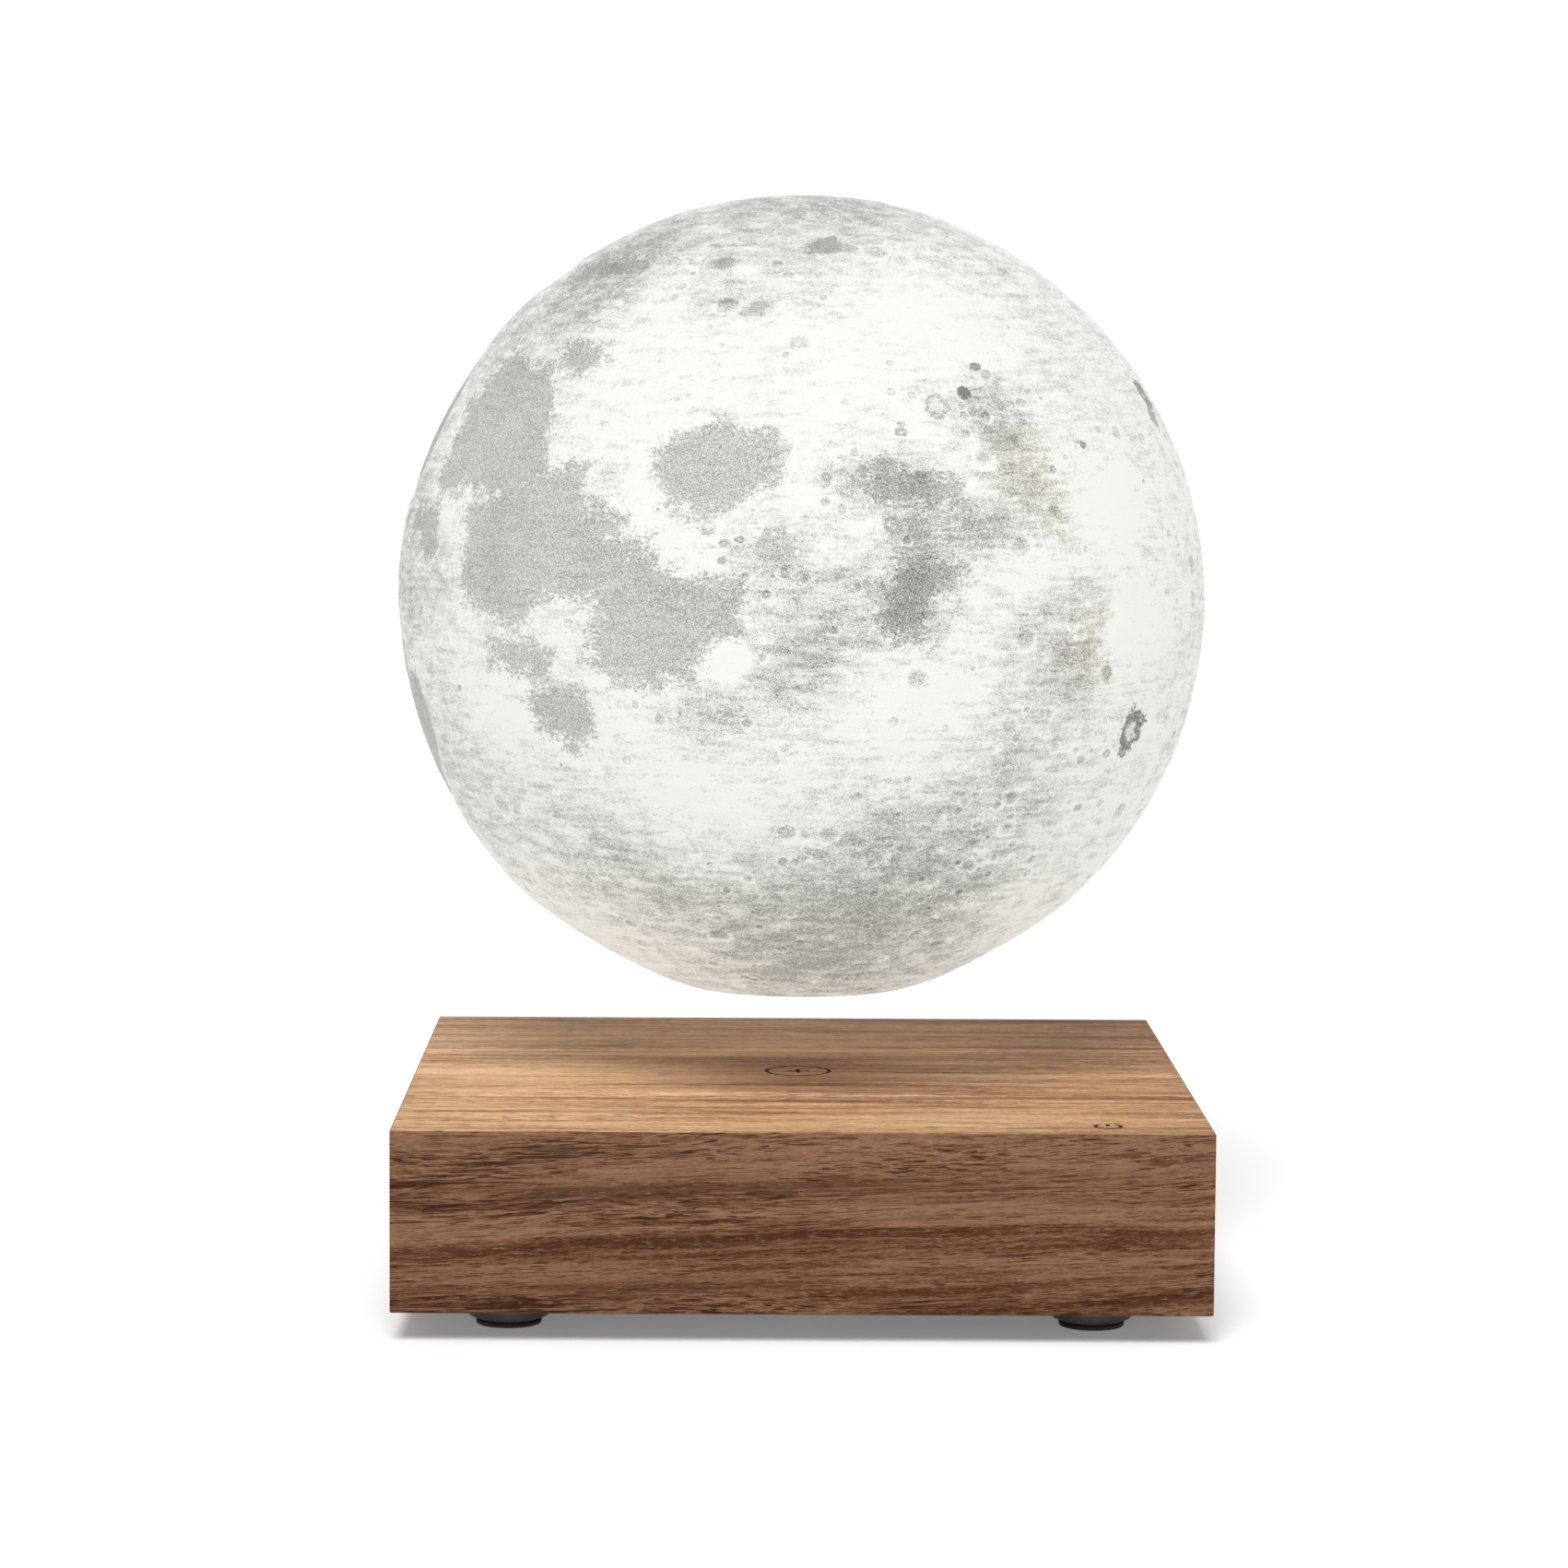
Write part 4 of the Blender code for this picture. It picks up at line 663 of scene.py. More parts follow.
class Finish(Nodes):
    """One procedural material."""

    def __init__(self, name, roughness=0.5, metallic=0.0, gloss=0.5):
        self.material = bpy.data.materials.new(name)
        self.material.use_nodes = True
        super().__init__(self.material.node_tree)
        self.shader = self.tree.nodes["Principled BSDF"]
        self.shader.inputs["Roughness"].default_value = roughness
        self.shader.inputs["Metallic"].default_value = metallic
        self.shader.inputs["Specular IOR Level"].default_value = gloss
        self.place = self.add("ShaderNodeTexCoord").outputs["Object"]

    def mapped(self, scale, shift=(0, 0, 0), turn=(0, 0, 0), source=None):
        inputs = {"Vector": source or self.place, "Scale": scale, "Location": shift, "Rotation": turn}
        return self.add("ShaderNodeMapping", inputs).outputs["Vector"]

    def noise(self, scale, detail=2.0, roughness=0.5, shift=(0, 0, 0), source=None):
        """A noise with one scale, or drawn out by a scale for each of X, Y and Z."""
        if isinstance(scale, tuple):
            source, scale = self.mapped(scale, shift, source=source), 1.0
        inputs = {"Vector": source or self.place, "Scale": scale, "Detail": detail, "Roughness": roughness}
        return self.add("ShaderNodeTexNoise", inputs).outputs["Fac"]

    def attribute(self, name):
        return self.add("ShaderNodeAttribute", attribute_name=name).outputs["Fac"]

    def ramp(self, value, stops):
        """A colour for a value, from (place, colour) stops."""
        node = self.add("ShaderNodeValToRGB", {"Fac": value})
        elements = node.color_ramp.elements
        while len(elements) < len(stops):
            elements.new(1.0)
        for element, (place, colour) in zip(elements, stops):
            element.position = place
            element.color = (*colour, 1.0)
        return node.outputs["Color"]

    def mix(self, share, first, second, blend="MIX"):
        first, second = [(*c, 1.0) if isinstance(c, (list, tuple)) else c for c in (first, second)]
        node = self.add("ShaderNodeMix", {0: share, 6: first, 7: second}, data_type="RGBA", blend_type=blend)
        return node.outputs[2]

    def colour(self, value):
        self.join(value, self.shader.inputs["Base Color"])

    def roughness(self, value, low, high):
        """Roughness that goes from low to high with a value from 0 to 1."""
        self.join(self.between(value, 0, 1, low, high, "LINEAR"), self.shader.inputs["Roughness"])

    def bump(self, height, distance, strength=1.0):
        node = self.add("ShaderNodeBump", {"Height": height, "Distance": distance, "Strength": strength})
        self.join(node.outputs["Normal"], self.shader.inputs["Normal"])


def shaded(colour, factor):
    """A colour made lighter or darker."""
    return [min(1.0, channel * factor) for channel in colour]


def wood_shade(middle, factor):
    """A lighter or darker tone of walnut. Its dark wood is redder and its light wood paler."""
    return [min(1.0, channel * factor ** power) for channel, power in zip(middle, WOOD_SHADE_POWERS)]


def walnut(name, middle, seed, turn=(0, 0, 0), contrast=1.0, fade=(0, 0, 0), gloss=0.1, stripes=()):
    """Oiled walnut. The grain runs along X once the mapping has turned it.

    The fade is how much lighter the wood gets for each metre. The stripes are given as the sum of
    Y and Z in the turned wood, half width, and how much lighter or darker.
    """
    wood = Finish(name, gloss=gloss)
    laid = wood.mapped((1, 1, 1), shift=(seed, seed / 2, seed / 3), turn=turn)
    swell = wood.around(wood.noise((6, 32, 32), source=laid), 0.014)
    grain = wood.vector("ADD", laid, wood.add("ShaderNodeCombineXYZ", {"Y": swell, "Z": swell}).outputs[0])

    def drawn(scale, detail=2.0, roughness=0.5, shift=(0, 0, 0)):
        """A noise drawn out along the grain."""
        return wood.noise(scale, detail, roughness, shift, grain)

    bands = drawn((3, 80, 80))
    streaks = drawn((9, 420, 420), 3, 0.6)
    threads = drawn((40, 2400, 2400), 2, 0.6)
    fibres = drawn((700, 5200, 5200), 1)
    tone = wood.plus(
        wood.around(bands, 0.8 * contrast), wood.around(streaks, 1.5 * contrast),
        wood.around(threads, 1.3), wood.around(fibres, 1.0), wood.measure("DOT_PRODUCT", wood.place, fade))
    ragged = wood.minus(wood.around(streaks, 0.004), seed / 2 + seed / 3)
    across = wood.plus(wood.measure("DOT_PRODUCT", grain, (0, 1, 1)), ragged)
    for place, half_width, amount in stripes:
        away = wood.maths("ABSOLUTE", wood.minus(across, place))
        tone = wood.plus(tone, wood.times(wood.between(away, half_width, 0), amount))
    tone = wood.maths("ADD", tone, 0.5, clamp=True)
    colour = wood.ramp(tone, [(stop, wood_shade(middle, factor)) for stop, factor in WOOD_RAMP])

    crowd = drawn((14, 150, 150), 3, shift=(11, 3, 5))
    heart = wood.plus(streaks, wood.around(bands, 1.0), wood.around(threads, 0.5))
    lines = wood.plus(drawn((45, 3200, 3200), 1, shift=(7, 1, 2)), wood.around(crowd, 0.9))
    dashes = wood.plus(drawn((220, 4600, 4600), 0, shift=(3, 5, 7)), wood.around(crowd, 0.8))
    glints = wood.minus(drawn((420, 4600, 4600), 0, shift=(17, 2, 9)), wood.around(crowd, 0.3))
    pores = wood.between(dashes, 0.63, 0.70)
    for share, strength, factor in (
        (wood.between(heart, 0.60, 0.72), 0.5 * contrast, 0.4),
        (wood.between(lines, 0.68, 0.76), 0.6 * contrast, 0.25),
        (pores, 0.8, 0.2),
        (wood.between(glints, 0.64, 0.74), 0.35, 2.0),
    ):
        colour = wood.mix(wood.times(share, strength), colour, wood_shade(middle, factor))
    wood.colour(colour)
    wood.roughness(threads, 0.45, 0.65)
    wood.bump(wood.minus(wood.times(threads, 0.5), pores), 0.0001, 0.6)
    return wood.material


def burnt_mark(colour):
    """The scorched floor of a laser mark."""
    mark = Finish("engraving", 0.8)
    soot = mark.noise(2600, 3)
    mark.colour(mark.ramp(soot, [(0.3, shaded(colour, 0.6)), (0.7, shaded(colour, 1.3))]))
    mark.bump(soot, 0.0001, 0.4)
    return mark.material


def moulded(name, colour, low, high, grain=900, depth=0.00004):
    """Moulded plastic or rubber with a fine skin, between two roughnesses."""
    skin = Finish(name, (low + high) / 2)
    cells = skin.noise(grain, 3, 0.6)
    clouds = skin.noise(45, 3)
    skin.colour(skin.ramp(clouds, [(0.3, shaded(colour, 0.86)), (0.7, shaded(colour, 1.14))]))
    skin.roughness(cells, low, high)
    skin.bump(cells, depth, 0.5)
    return skin.material


def worked_metal(name, colour, low, high, scale=(900, 900, 900), depth=0.00002):
    """Bare or plated metal with tool marks, drawn out by the scale."""
    metal = Finish(name, (low + high) / 2, 1.0)
    marks = metal.noise(scale, 4, 0.6)
    clouds = metal.noise(60)
    metal.colour(metal.ramp(clouds, [(0.3, shaded(colour, 0.85)), (0.7, shaded(colour, 1.1))]))
    metal.roughness(marks, low, high)
    metal.bump(marks, depth, 0.4)
    return metal.material


def wound_wire(name, pitch):
    """Enamelled copper wire in even turns, seen as fine ridges from bottom to top."""
    wire = Finish(name, 0.35, 0.9)
    turns = wire.add("ShaderNodeTexWave", {
        "Vector": wire.place, "Scale": math.pi / 10 / pitch, "Distortion": 0.6, "Detail": 1.0,
    }, wave_type="BANDS", bands_direction="Z").outputs["Fac"]
    enamel = seen(184, 106, 62)
    wire.colour(wire.ramp(turns, [(0.0, shaded(enamel, 0.45)), (0.6, shaded(enamel, 1.1))]))
    wire.bump(turns, pitch / 2, 0.8)
    return wire.material


def circuit_board():
    """Green solder mask over faint copper tracks."""
    board = Finish("circuit_green", 0.35)
    cells = board.add("ShaderNodeTexVoronoi", {"Vector": board.place, "Scale": 420.0, "Randomness": 0.3},
                      distance="MANHATTAN", feature="F1").outputs["Distance"]
    tracks = board.between(cells, 0.34, 0.4)
    board.colour(board.mix(tracks, seen(20, 84, 52), seen(44, 122, 76)))
    board.roughness(tracks, 0.3, 0.45)
    board.bump(tracks, 0.00003, 0.6)
    return board.material


def frosted_plastic():
    """The milky dome over the light board."""
    dome = Finish("frosted_plastic", 0.5)
    haze = dome.noise(700, 3)
    dome.colour(dome.ramp(haze, [(0.3, seen(236, 236, 230)), (0.7, seen(246, 246, 241))]))
    dome.shader.inputs["Transmission Weight"].default_value = 0.25
    dome.bump(haze, 0.00005, 0.4)
    return dome.material


# Moon map

def rows(table):
    """All the rows of a table, from every group of it."""
    return [row for group in table.values() for row in group]


def globe_matrix():
    return Euler([math.radians(angle) for angle in GLOBE_TURN_DEG]).to_matrix()


def globe_direction(latitude_deg, longitude_deg):
    """A place on the map as a direction from the moon's centre, in the room."""
    latitude, longitude = math.radians(latitude_deg), math.radians(longitude_deg)
    return globe_matrix() @ Vector((
        math.cos(latitude) * math.cos(longitude), math.cos(latitude) * math.sin(longitude),
        math.sin(latitude)))


def map_places(points):
    """Latitude and longitude in degrees of an array of points on the moon, and their directions."""
    outward = points - np.array(MOON_CENTRE)
    outward /= np.linalg.norm(outward, axis=1)[:, None]
    on_globe = outward @ np.array(globe_matrix())
    latitude = np.degrees(np.arcsin(np.clip(on_globe[:, 2], -1, 1)))
    longitude = np.degrees(np.arctan2(on_globe[:, 1], on_globe[:, 0]))
    return latitude, longitude, outward


def outline_depth(latitude, longitude, outline):
    """How many degrees each place lies inside an outline. Outside it the number is negative."""
    corners = np.array(outline, float)
    middle_latitude, middle_longitude = corners.mean(axis=0)
    narrowing = math.cos(math.radians(middle_latitude))
    x = ((longitude - middle_longitude + 180) % 360 - 180) * narrowing
    y = latitude - middle_latitude
    corner_x = (corners[:, 1] - middle_longitude) * narrowing
    corner_y = corners[:, 0] - middle_latitude
    nearest = np.full(len(x), 1e9)
    inside = np.zeros(len(x), bool)
    for start in range(len(outline)):
        end = (start + 1) % len(outline)
        step_x, step_y = corner_x[end] - corner_x[start], corner_y[end] - corner_y[start]
        from_x, from_y = x - corner_x[start], y - corner_y[start]
        share = np.clip((from_x * step_x + from_y * step_y) / (step_x**2 + step_y**2), 0, 1)
        nearest = np.minimum(nearest, np.hypot(from_x - share * step_x, from_y - share * step_y))
        crosses = (corner_y[start] > y) != (corner_y[end] > y)
        with np.errstate(divide="ignore", invalid="ignore"):
            meets = corner_x[start] + from_y * step_x / step_y
        inside ^= crosses & (x < meets)
    return np.where(inside, nearest, -nearest)


def angle_to(outward, latitude_deg, longitude_deg):
    """Degrees from each direction to one place on the map."""
    middle = np.array(globe_direction(latitude_deg, longitude_deg))
    return np.degrees(np.arccos(np.clip(outward @ middle, -1, 1)))


def smooth(share):
    """A share from 0 to 1 that leaves 0 and reaches 1 gently."""
    share = np.clip(share, 0, 1)
    return share * share * (3 - 2 * share)


def patches(outward, table, reach):
    """For each row of a table, its amount times a soft patch: 1 in its middle, 0 from its edge on."""
    for latitude, longitude, radius, amount in rows(table):
        yield amount * smooth(1 - angle_to(outward, latitude, longitude) / (radius * reach))


def pushed_about(outward):
    """Directions moved by slow waves, so that a circle drawn on the map gets an uneven shore."""
    moved = outward + 0.10 * np.sin(5 * outward[:, [1, 2, 0]] + np.array((1.0, 2.3, 4.1)))
    moved += 0.04 * np.sin(13 * outward[:, [2, 0, 1]] + np.array((0.4, 1.9, 3.0)))
    return moved / np.linalg.norm(moved, axis=1)[:, None]


def sea_depths(latitude, longitude, outward):
    """How many degrees each place lies inside the nearest sea, up to the slope that the map needs."""
    depth = np.full(len(latitude), -1e9)
    for outline in SEA_OUTLINES.values():
        depth = np.maximum(depth, outline_depth(latitude, longitude, outline))
    uneven = pushed_about(outward)
    for middle_latitude, middle_longitude, radius in ROUND_SEAS_DEG.values():
        depth = np.maximum(depth, radius - angle_to(uneven, middle_latitude, middle_longitude))
    return np.clip(depth, -8, 8)


def crater_field(outward, sea_share):
    """Relief and tone of the small craters: a few hundred, from a fixed seed, and the named spots."""
    chance = np.random.default_rng(CRATER_SEED)
    relief, tone = np.zeros(len(outward)), np.zeros(len(outward))
    craters = [(globe_direction(latitude, longitude), radius * 1.1, 0.7)
               for latitude, longitude, radius, *_ in rows(DARK_SPOTS) if radius > LEAST_BOWL_DEG]
    for _ in range(CRATER_COUNT):
        direction = chance.normal(size=3)
        direction /= np.linalg.norm(direction)
        radius = CRATER_RADIUS_DEG + CRATER_SPREAD_DEG * chance.random() ** 3
        craters.append((direction, radius, 0.35 + 0.65 * chance.random()))
    for middle, radius, strength in craters:
        middle = np.array(middle)
        near = outward @ middle > math.cos(math.radians(radius * 1.6))
        distance = np.degrees(np.arccos(np.clip(outward[near] @ middle, -1, 1))) / radius
        bowl = np.clip(1 - distance**2, 0, 1)
        rim = np.exp(-(((distance - 1) / CRATER_RIM_SHARE) ** 2))
        worn = strength * (1 - WORN_IN_SEA * sea_share[near])
        relief[near] += worn * (0.5 * rim - bowl) * min(1.0, radius / 2.5)
        tone[near] += worn * (0.14 * bowl - 0.12 * rim)
    return relief, tone


def shape_moon(piece, settings):
    """Sinks the seas, presses in the craters and keeps the map's numbers on the ball's outer wall."""
    points = np.zeros(len(piece.data.vertices) * 3)
    piece.data.vertices.foreach_get("co", points)
    points = points.reshape(-1, 3)
    latitude, longitude, outward = map_places(points)
    depth = sea_depths(latitude, longitude, outward)
    sea_share = smooth(depth / 3 + 0.5)
    relief, tone = crater_field(outward, sea_share)
    warmth, crowding = np.zeros(len(points)), np.full(len(points), LEAST_CROWD)
    for patch in patches(outward, TONES, TONE_REACH):
        tone += patch
    for patch in patches(outward, WARM_TINTS, WARM_REACH):
        warmth += patch
    for patch in patches(outward, CRATERED_GROUND, CROWD_REACH):
        crowding = np.maximum(crowding, patch)

    reach = np.linalg.norm(points - np.array(MOON_CENTRE), axis=1)
    on_outside = reach > MOON_RADIUS - SHELL_WALL / 2
    above_mouth = np.clip((points[:, 2] - SHELL_LOW.z) / (2 * SHELL_WALL), 0, 1)
    sink = settings.sea_depth * sea_share - settings.crater_depth * relief
    points -= outward * (sink * on_outside * above_mouth)[:, None]
    from_foot = np.degrees(np.arccos(np.clip(-outward[:, 2], -1, 1)))
    run_in = np.clip(1 - np.abs(from_foot - TAPER_MIDDLE_DEG) / TAPER_REACH_DEG, 0, 1)
    points -= outward * (settings.foot_taper * on_outside * np.sin(run_in * math.pi / 2) ** 2)[:, None]
    piece.data.vertices.foreach_set("co", points.ravel())
    for name, values in (("sea_edge", depth), ("ground_tone", tone), ("warm_ground", warmth),
                         ("crater_crowd", crowding)):
        attribute = piece.data.attributes.new(name, "FLOAT", "POINT")
        attribute.data.foreach_set("value", values.astype(np.float32))
    outer = piece.vertex_groups.new(name="outer_wall")
    for share in np.unique(np.round(above_mouth, 2)):
        chosen = np.flatnonzero(on_outside & (np.round(above_mouth, 2) == share))
        outer.add(chosen.tolist(), float(share), "REPLACE")


def roughen_ground(piece, settings):
    """Two displaced layers of uneven ground over the whole outer wall."""
    for name, size, share in (("broad ground", 0.011, 1.0), ("fine ground", 0.0032, 0.4)):
        texture = bpy.data.textures.new(name, "CLOUDS")
        texture.noise_scale = size
        texture.noise_depth = 3
        modifier = piece.modifiers.new(name, "DISPLACE")
        modifier.texture = texture
        modifier.texture_coords = "LOCAL"
        modifier.vertex_group = "outer_wall"
        modifier.strength = settings.ground_height * share
        activate(piece)
        bpy.ops.object.modifier_apply(modifier=modifier.name)


def spot_group():
    """The node group that draws one dark spot, with a bright middle if it has one."""
    spot = Nodes(bpy.data.node_groups.new("map_spot", "ShaderNodeTree"))
    sockets = dict.fromkeys(("Direction", "Middle", "Flatness"), "Vector")
    sockets.update(dict.fromkeys(("Wobble", "Radius", "Bright Share", "Darkness", "Before"), "Float"))
    for name, kind in sockets.items():
        spot.tree.interface.new_socket(name, in_out="INPUT", socket_type=f"NodeSocket{kind}")
    spot.tree.interface.new_socket("Darkest", in_out="OUTPUT", socket_type="NodeSocketFloat")
    given = spot.add("NodeGroupInput").outputs
    offset = spot.vector("SUBTRACT", given["Direction"], given["Middle"])
    reach = spot.measure("LENGTH", spot.vector("MULTIPLY", offset, given["Flatness"]))
    ragged = spot.plus(spot.maths("DIVIDE", reach, given["Radius"]), given["Wobble"])
    inside = spot.between(ragged, 1.15, 0.8)
    lit = spot.between(spot.minus(ragged, given["Bright Share"]), -0.15, 0.15, 0.25, 1.0, "LINEAR")
    dark = spot.times(spot.times(inside, lit), given["Darkness"])
    spot.add("NodeGroupOutput", {"Darkest": spot.maths("MAXIMUM", dark, given["Before"])})
    return spot.tree


def dark_spots(ground, wobble):
    """The darkest of all the named spots at each place of the ground."""
    direction = ground.vector("NORMALIZE", ground.vector("SUBTRACT", ground.place, tuple(MOON_CENTRE)))
    group, darkest = spot_group(), 0.0
    for latitude, longitude, radius, bright, darkness, flatness in rows(DARK_SPOTS):
        spot = ground.add("ShaderNodeGroup", node_tree=group)
        values = {
            "Direction": direction, "Middle": tuple(globe_direction(latitude, longitude)),
            "Flatness": (1, 1, flatness), "Wobble": wobble, "Radius": math.radians(radius),
            "Bright Share": bright, "Darkness": darkness, "Before": darkest,
        }
        for name, value in values.items():
            ground.join(value, spot.inputs[name])
        darkest = spot.outputs["Darkest"]
    return darkest


def small_craters(ground, scale, shift, ragged):
    """Craters of one size range: a grey floor, a bright rim, and walls shaded as if lit from above."""
    moved = ground.mapped((1, 1, 1), shift=shift)
    cells = ground.add("ShaderNodeTexVoronoi", {"Vector": moved, "Scale": scale}, feature="F1").outputs
    chance = ground.add("ShaderNodeSeparateColor", {"Color": cells["Color"]}).outputs
    width = ground.plus(ground.times(chance[0], 0.26), 0.14)
    reach = ground.plus(ground.maths("DIVIDE", cells["Distance"], width), ragged)
    inside = ground.between(reach, 1.0, 0.75)
    rim = ground.times(ground.between(reach, 1.5, 1.1), ground.between(reach, 0.8, 1.0))
    wall = ground.times(ground.between(reach, 1.15, 0.95), ground.between(reach, 0.3, 0.8))
    offset = ground.vector("SUBTRACT", moved, cells["Position"])
    lit_from = ground.measure("DOT_PRODUCT", offset, (-0.5, 0.0, 0.85))
    facing = ground.maths("DIVIDE", ground.times(lit_from, scale), width)
    there = ground.between(ground.minus(ground.attribute("crater_crowd"), chance[1]), -0.05, 0.1)
    floor = ground.times(inside, ground.plus(ground.times(chance[2], 0.6), 0.1))
    mark = ground.minus(floor, ground.times(rim, 0.4))
    mark = ground.plus(mark, ground.times(ground.times(wall, facing), 0.6))
    return ground.times(mark, there)


def moon_print(settings):
    """The printed ground: white highlands, grey seas with crumbled shores, craters and a fine speckle."""
    ground = Finish("moon_print", 0.75, gloss=0.25)
    broad = ground.noise(60, 4, 0.6)
    crumbs = ground.noise((200, 200, 330), 6, 0.75)
    grit = ground.noise((1100, 1100, 1700), 2, 0.7)
    speckle = ground.noise(5400, 0)
    streaks = ground.noise((110, 110, 800), 4, 0.68)
    ragged = ground.plus(ground.around(crumbs, 1.6), ground.around(grit, 0.9))
    craters = ground.plus(small_craters(ground, 130, (0, 0, 0), ragged),
                          small_craters(ground, 270, (5, 3, 1), ragged))
    given_tone = ground.attribute("ground_tone")

    shore = ground.plus(ground.attribute("sea_edge"), ground.around(broad, 3.0),
                        ground.around(crumbs, 10.0), ground.around(grit, 8.0))
    in_sea = ground.between(shore, -1.4, 0.9)
    sea_tone = ground.plus(ground.around(streaks, 0.7), ground.around(broad, 0.5),
                           ground.times(ground.maths("MAXIMUM", given_tone, 0.0), 0.45), 1.0)

    mottle = ground.plus(ground.around(crumbs, 1.2), ground.around(streaks, 1.1), ground.around(grit, 0.7))
    base = ground.plus(given_tone, ground.around(broad, 0.9), 0.13)
    contrast = ground.plus(ground.times(ground.maths("MAXIMUM", base, 0.0), 0.4), 1.75)
    tone = ground.maths("MINIMUM", ground.plus(base, ground.times(mottle, contrast)), 1.3)
    tone = ground.maths("MAXIMUM", ground.plus(tone, ground.times(craters, 0.8)), 0.0)
    raised = ground.maths("MAXIMUM", tone, ground.times(sea_tone, in_sea))
    bright_spots = ground.maths("MINIMUM", ground.plus(given_tone, 1.0), 0.0)
    grey = ground.maths("MAXIMUM", ground.plus(raised, bright_spots), 0.0)
    wobble = ground.plus(ground.around(crumbs, 2.4), ground.around(grit, 0.8))
    grey = ground.maths("MAXIMUM", grey, dark_spots(ground, wobble))

    grain = ground.times(ground.around(speckle, 3.6), ground.between(grey, -0.3, 0.8))
    grey = ground.maths("MULTIPLY", ground.plus(grey, grain), 0.5, clamp=True)
    colour = ground.ramp(grey, [(0.0, settings.highland), (0.5, settings.sea), (1.0, settings.dark)])
    warm = ground.times(ground.attribute("warm_ground"), ground.between(grey, 0.15, 0.5))
    colour = ground.mix(warm, colour, seen(248, 232, 212), blend="MULTIPLY")
    ground.colour(ground.mix(settings.light_within, colour, (0, 0, 0)))
    ground.join(colour, ground.shader.inputs["Emission Color"])
    ground.shader.inputs["Emission Strength"].default_value = settings.light_within
    ground.roughness(crumbs, 0.65, 0.85)
    layers = ground.noise((60, 60, 3600), 1)
    ground.bump(ground.plus(ground.times(grit, 0.8), layers), 0.00008, 0.4)
    return ground.material


# Operators

class LAMP_OT_stage(bpy.types.Operator):
    """Set up the camera, the white room, the soft lamps and the pale floor."""

    bl_idname = "lamp.stage"
    bl_label = "Stage"

    def execute(self, context):
        settings = context.scene.lamp_stage
        self.add_camera(context.scene, settings)
        self.light_room(context.scene, settings)
        self.add_floor(settings)
        context.scene.view_settings.view_transform = "Standard"
        return {"FINISHED"}

    def add_camera(self, scene, settings):
        data = bpy.data.cameras.new("photo_camera")
        data.lens = settings.lens
        data.sensor_width = SENSOR_WIDTH
        data.clip_start, data.clip_end = 0.01, 50
        camera = bpy.data.objects.new("photo_camera", data)
        scene.collection.objects.link(camera)
        turned_to = (Matrix.Rotation(settings.camera_yaw, 4, "Z")
                     @ Matrix.Rotation(settings.camera_pitch, 4, "X")
                     @ Matrix.Rotation(settings.camera_roll, 4, "Y")
                     @ Matrix.Rotation(math.radians(90), 4, "X"))
        camera.matrix_world = Matrix.Translation(settings.camera_place) @ turned_to
        scene.camera = camera

    def white_to_camera(self, nodes, lit, white):
        """Mixes a lit surface with plain white, which only the camera, gloss and glass see."""
        path = nodes.add("ShaderNodeLightPath").outputs
        seen_by = path["Is Camera Ray"]
        for name in ("Is Glossy Ray", "Is Transmission Ray"):
            seen_by = nodes.maths("MAXIMUM", seen_by, path[name])
        return nodes.add("ShaderNodeMixShader", {"Fac": seen_by, 1: lit, 2: white}).outputs["Shader"]

    def light_room(self, scene, settings):
        world = bpy.data.worlds.new("white_room")
        world.use_nodes = True
        scene.world = world
        room = Nodes(world.node_tree)
        lit, white = [
            room.add("ShaderNodeBackground", {"Color": (1, 1, 1, 1), "Strength": strength}).outputs[0]
            for strength in (settings.sky, 1.0)]
        shown = self.white_to_camera(room, lit, white)
        room.join(shown, room.tree.nodes["World Output"].inputs["Surface"])
        room.tree.nodes.remove(room.tree.nodes["Background"])

        for name, place, width_deg, strength in (
            ("key_light", KEY_PLACE, KEY_WIDTH_DEG, settings.key),
            ("low_light", LOW_PLACE, LOW_WIDTH_DEG, settings.low),
        ):
            data = bpy.data.lights.new(name, "SUN")
            data.angle = math.radians(width_deg)
            data.energy = strength
            lamp = bpy.data.objects.new(name, data)
            scene.collection.objects.link(lamp)
            lamp.location = place
            lamp.rotation_euler = (-Vector(place)).to_track_quat("-Z", "Y").to_euler()

    def add_floor(self, settings):
        clear_selection()
        bpy.ops.mesh.primitive_plane_add(size=FLOOR_SIDE)
        floor = bpy.context.object
        floor.name = "floor"
        paper = Finish("pale_floor")
        paper.tree.nodes.remove(paper.shader)
        lit, bright = [
            paper.add("ShaderNodeBsdfDiffuse", {"Color": (*colour, 1)}).outputs["BSDF"]
            for colour in (settings.floor, (settings.floor_lift,) * 3)]
        glow = paper.add("ShaderNodeEmission", {"Strength": settings.floor_glow}).outputs["Emission"]
        white = paper.add("ShaderNodeAddShader", {0: bright, 1: glow}).outputs["Shader"]
        shown = self.white_to_camera(paper, lit, white)
        paper.join(shown, paper.tree.nodes["Material Output"].inputs["Surface"])
        floor.data.materials.append(paper.material)


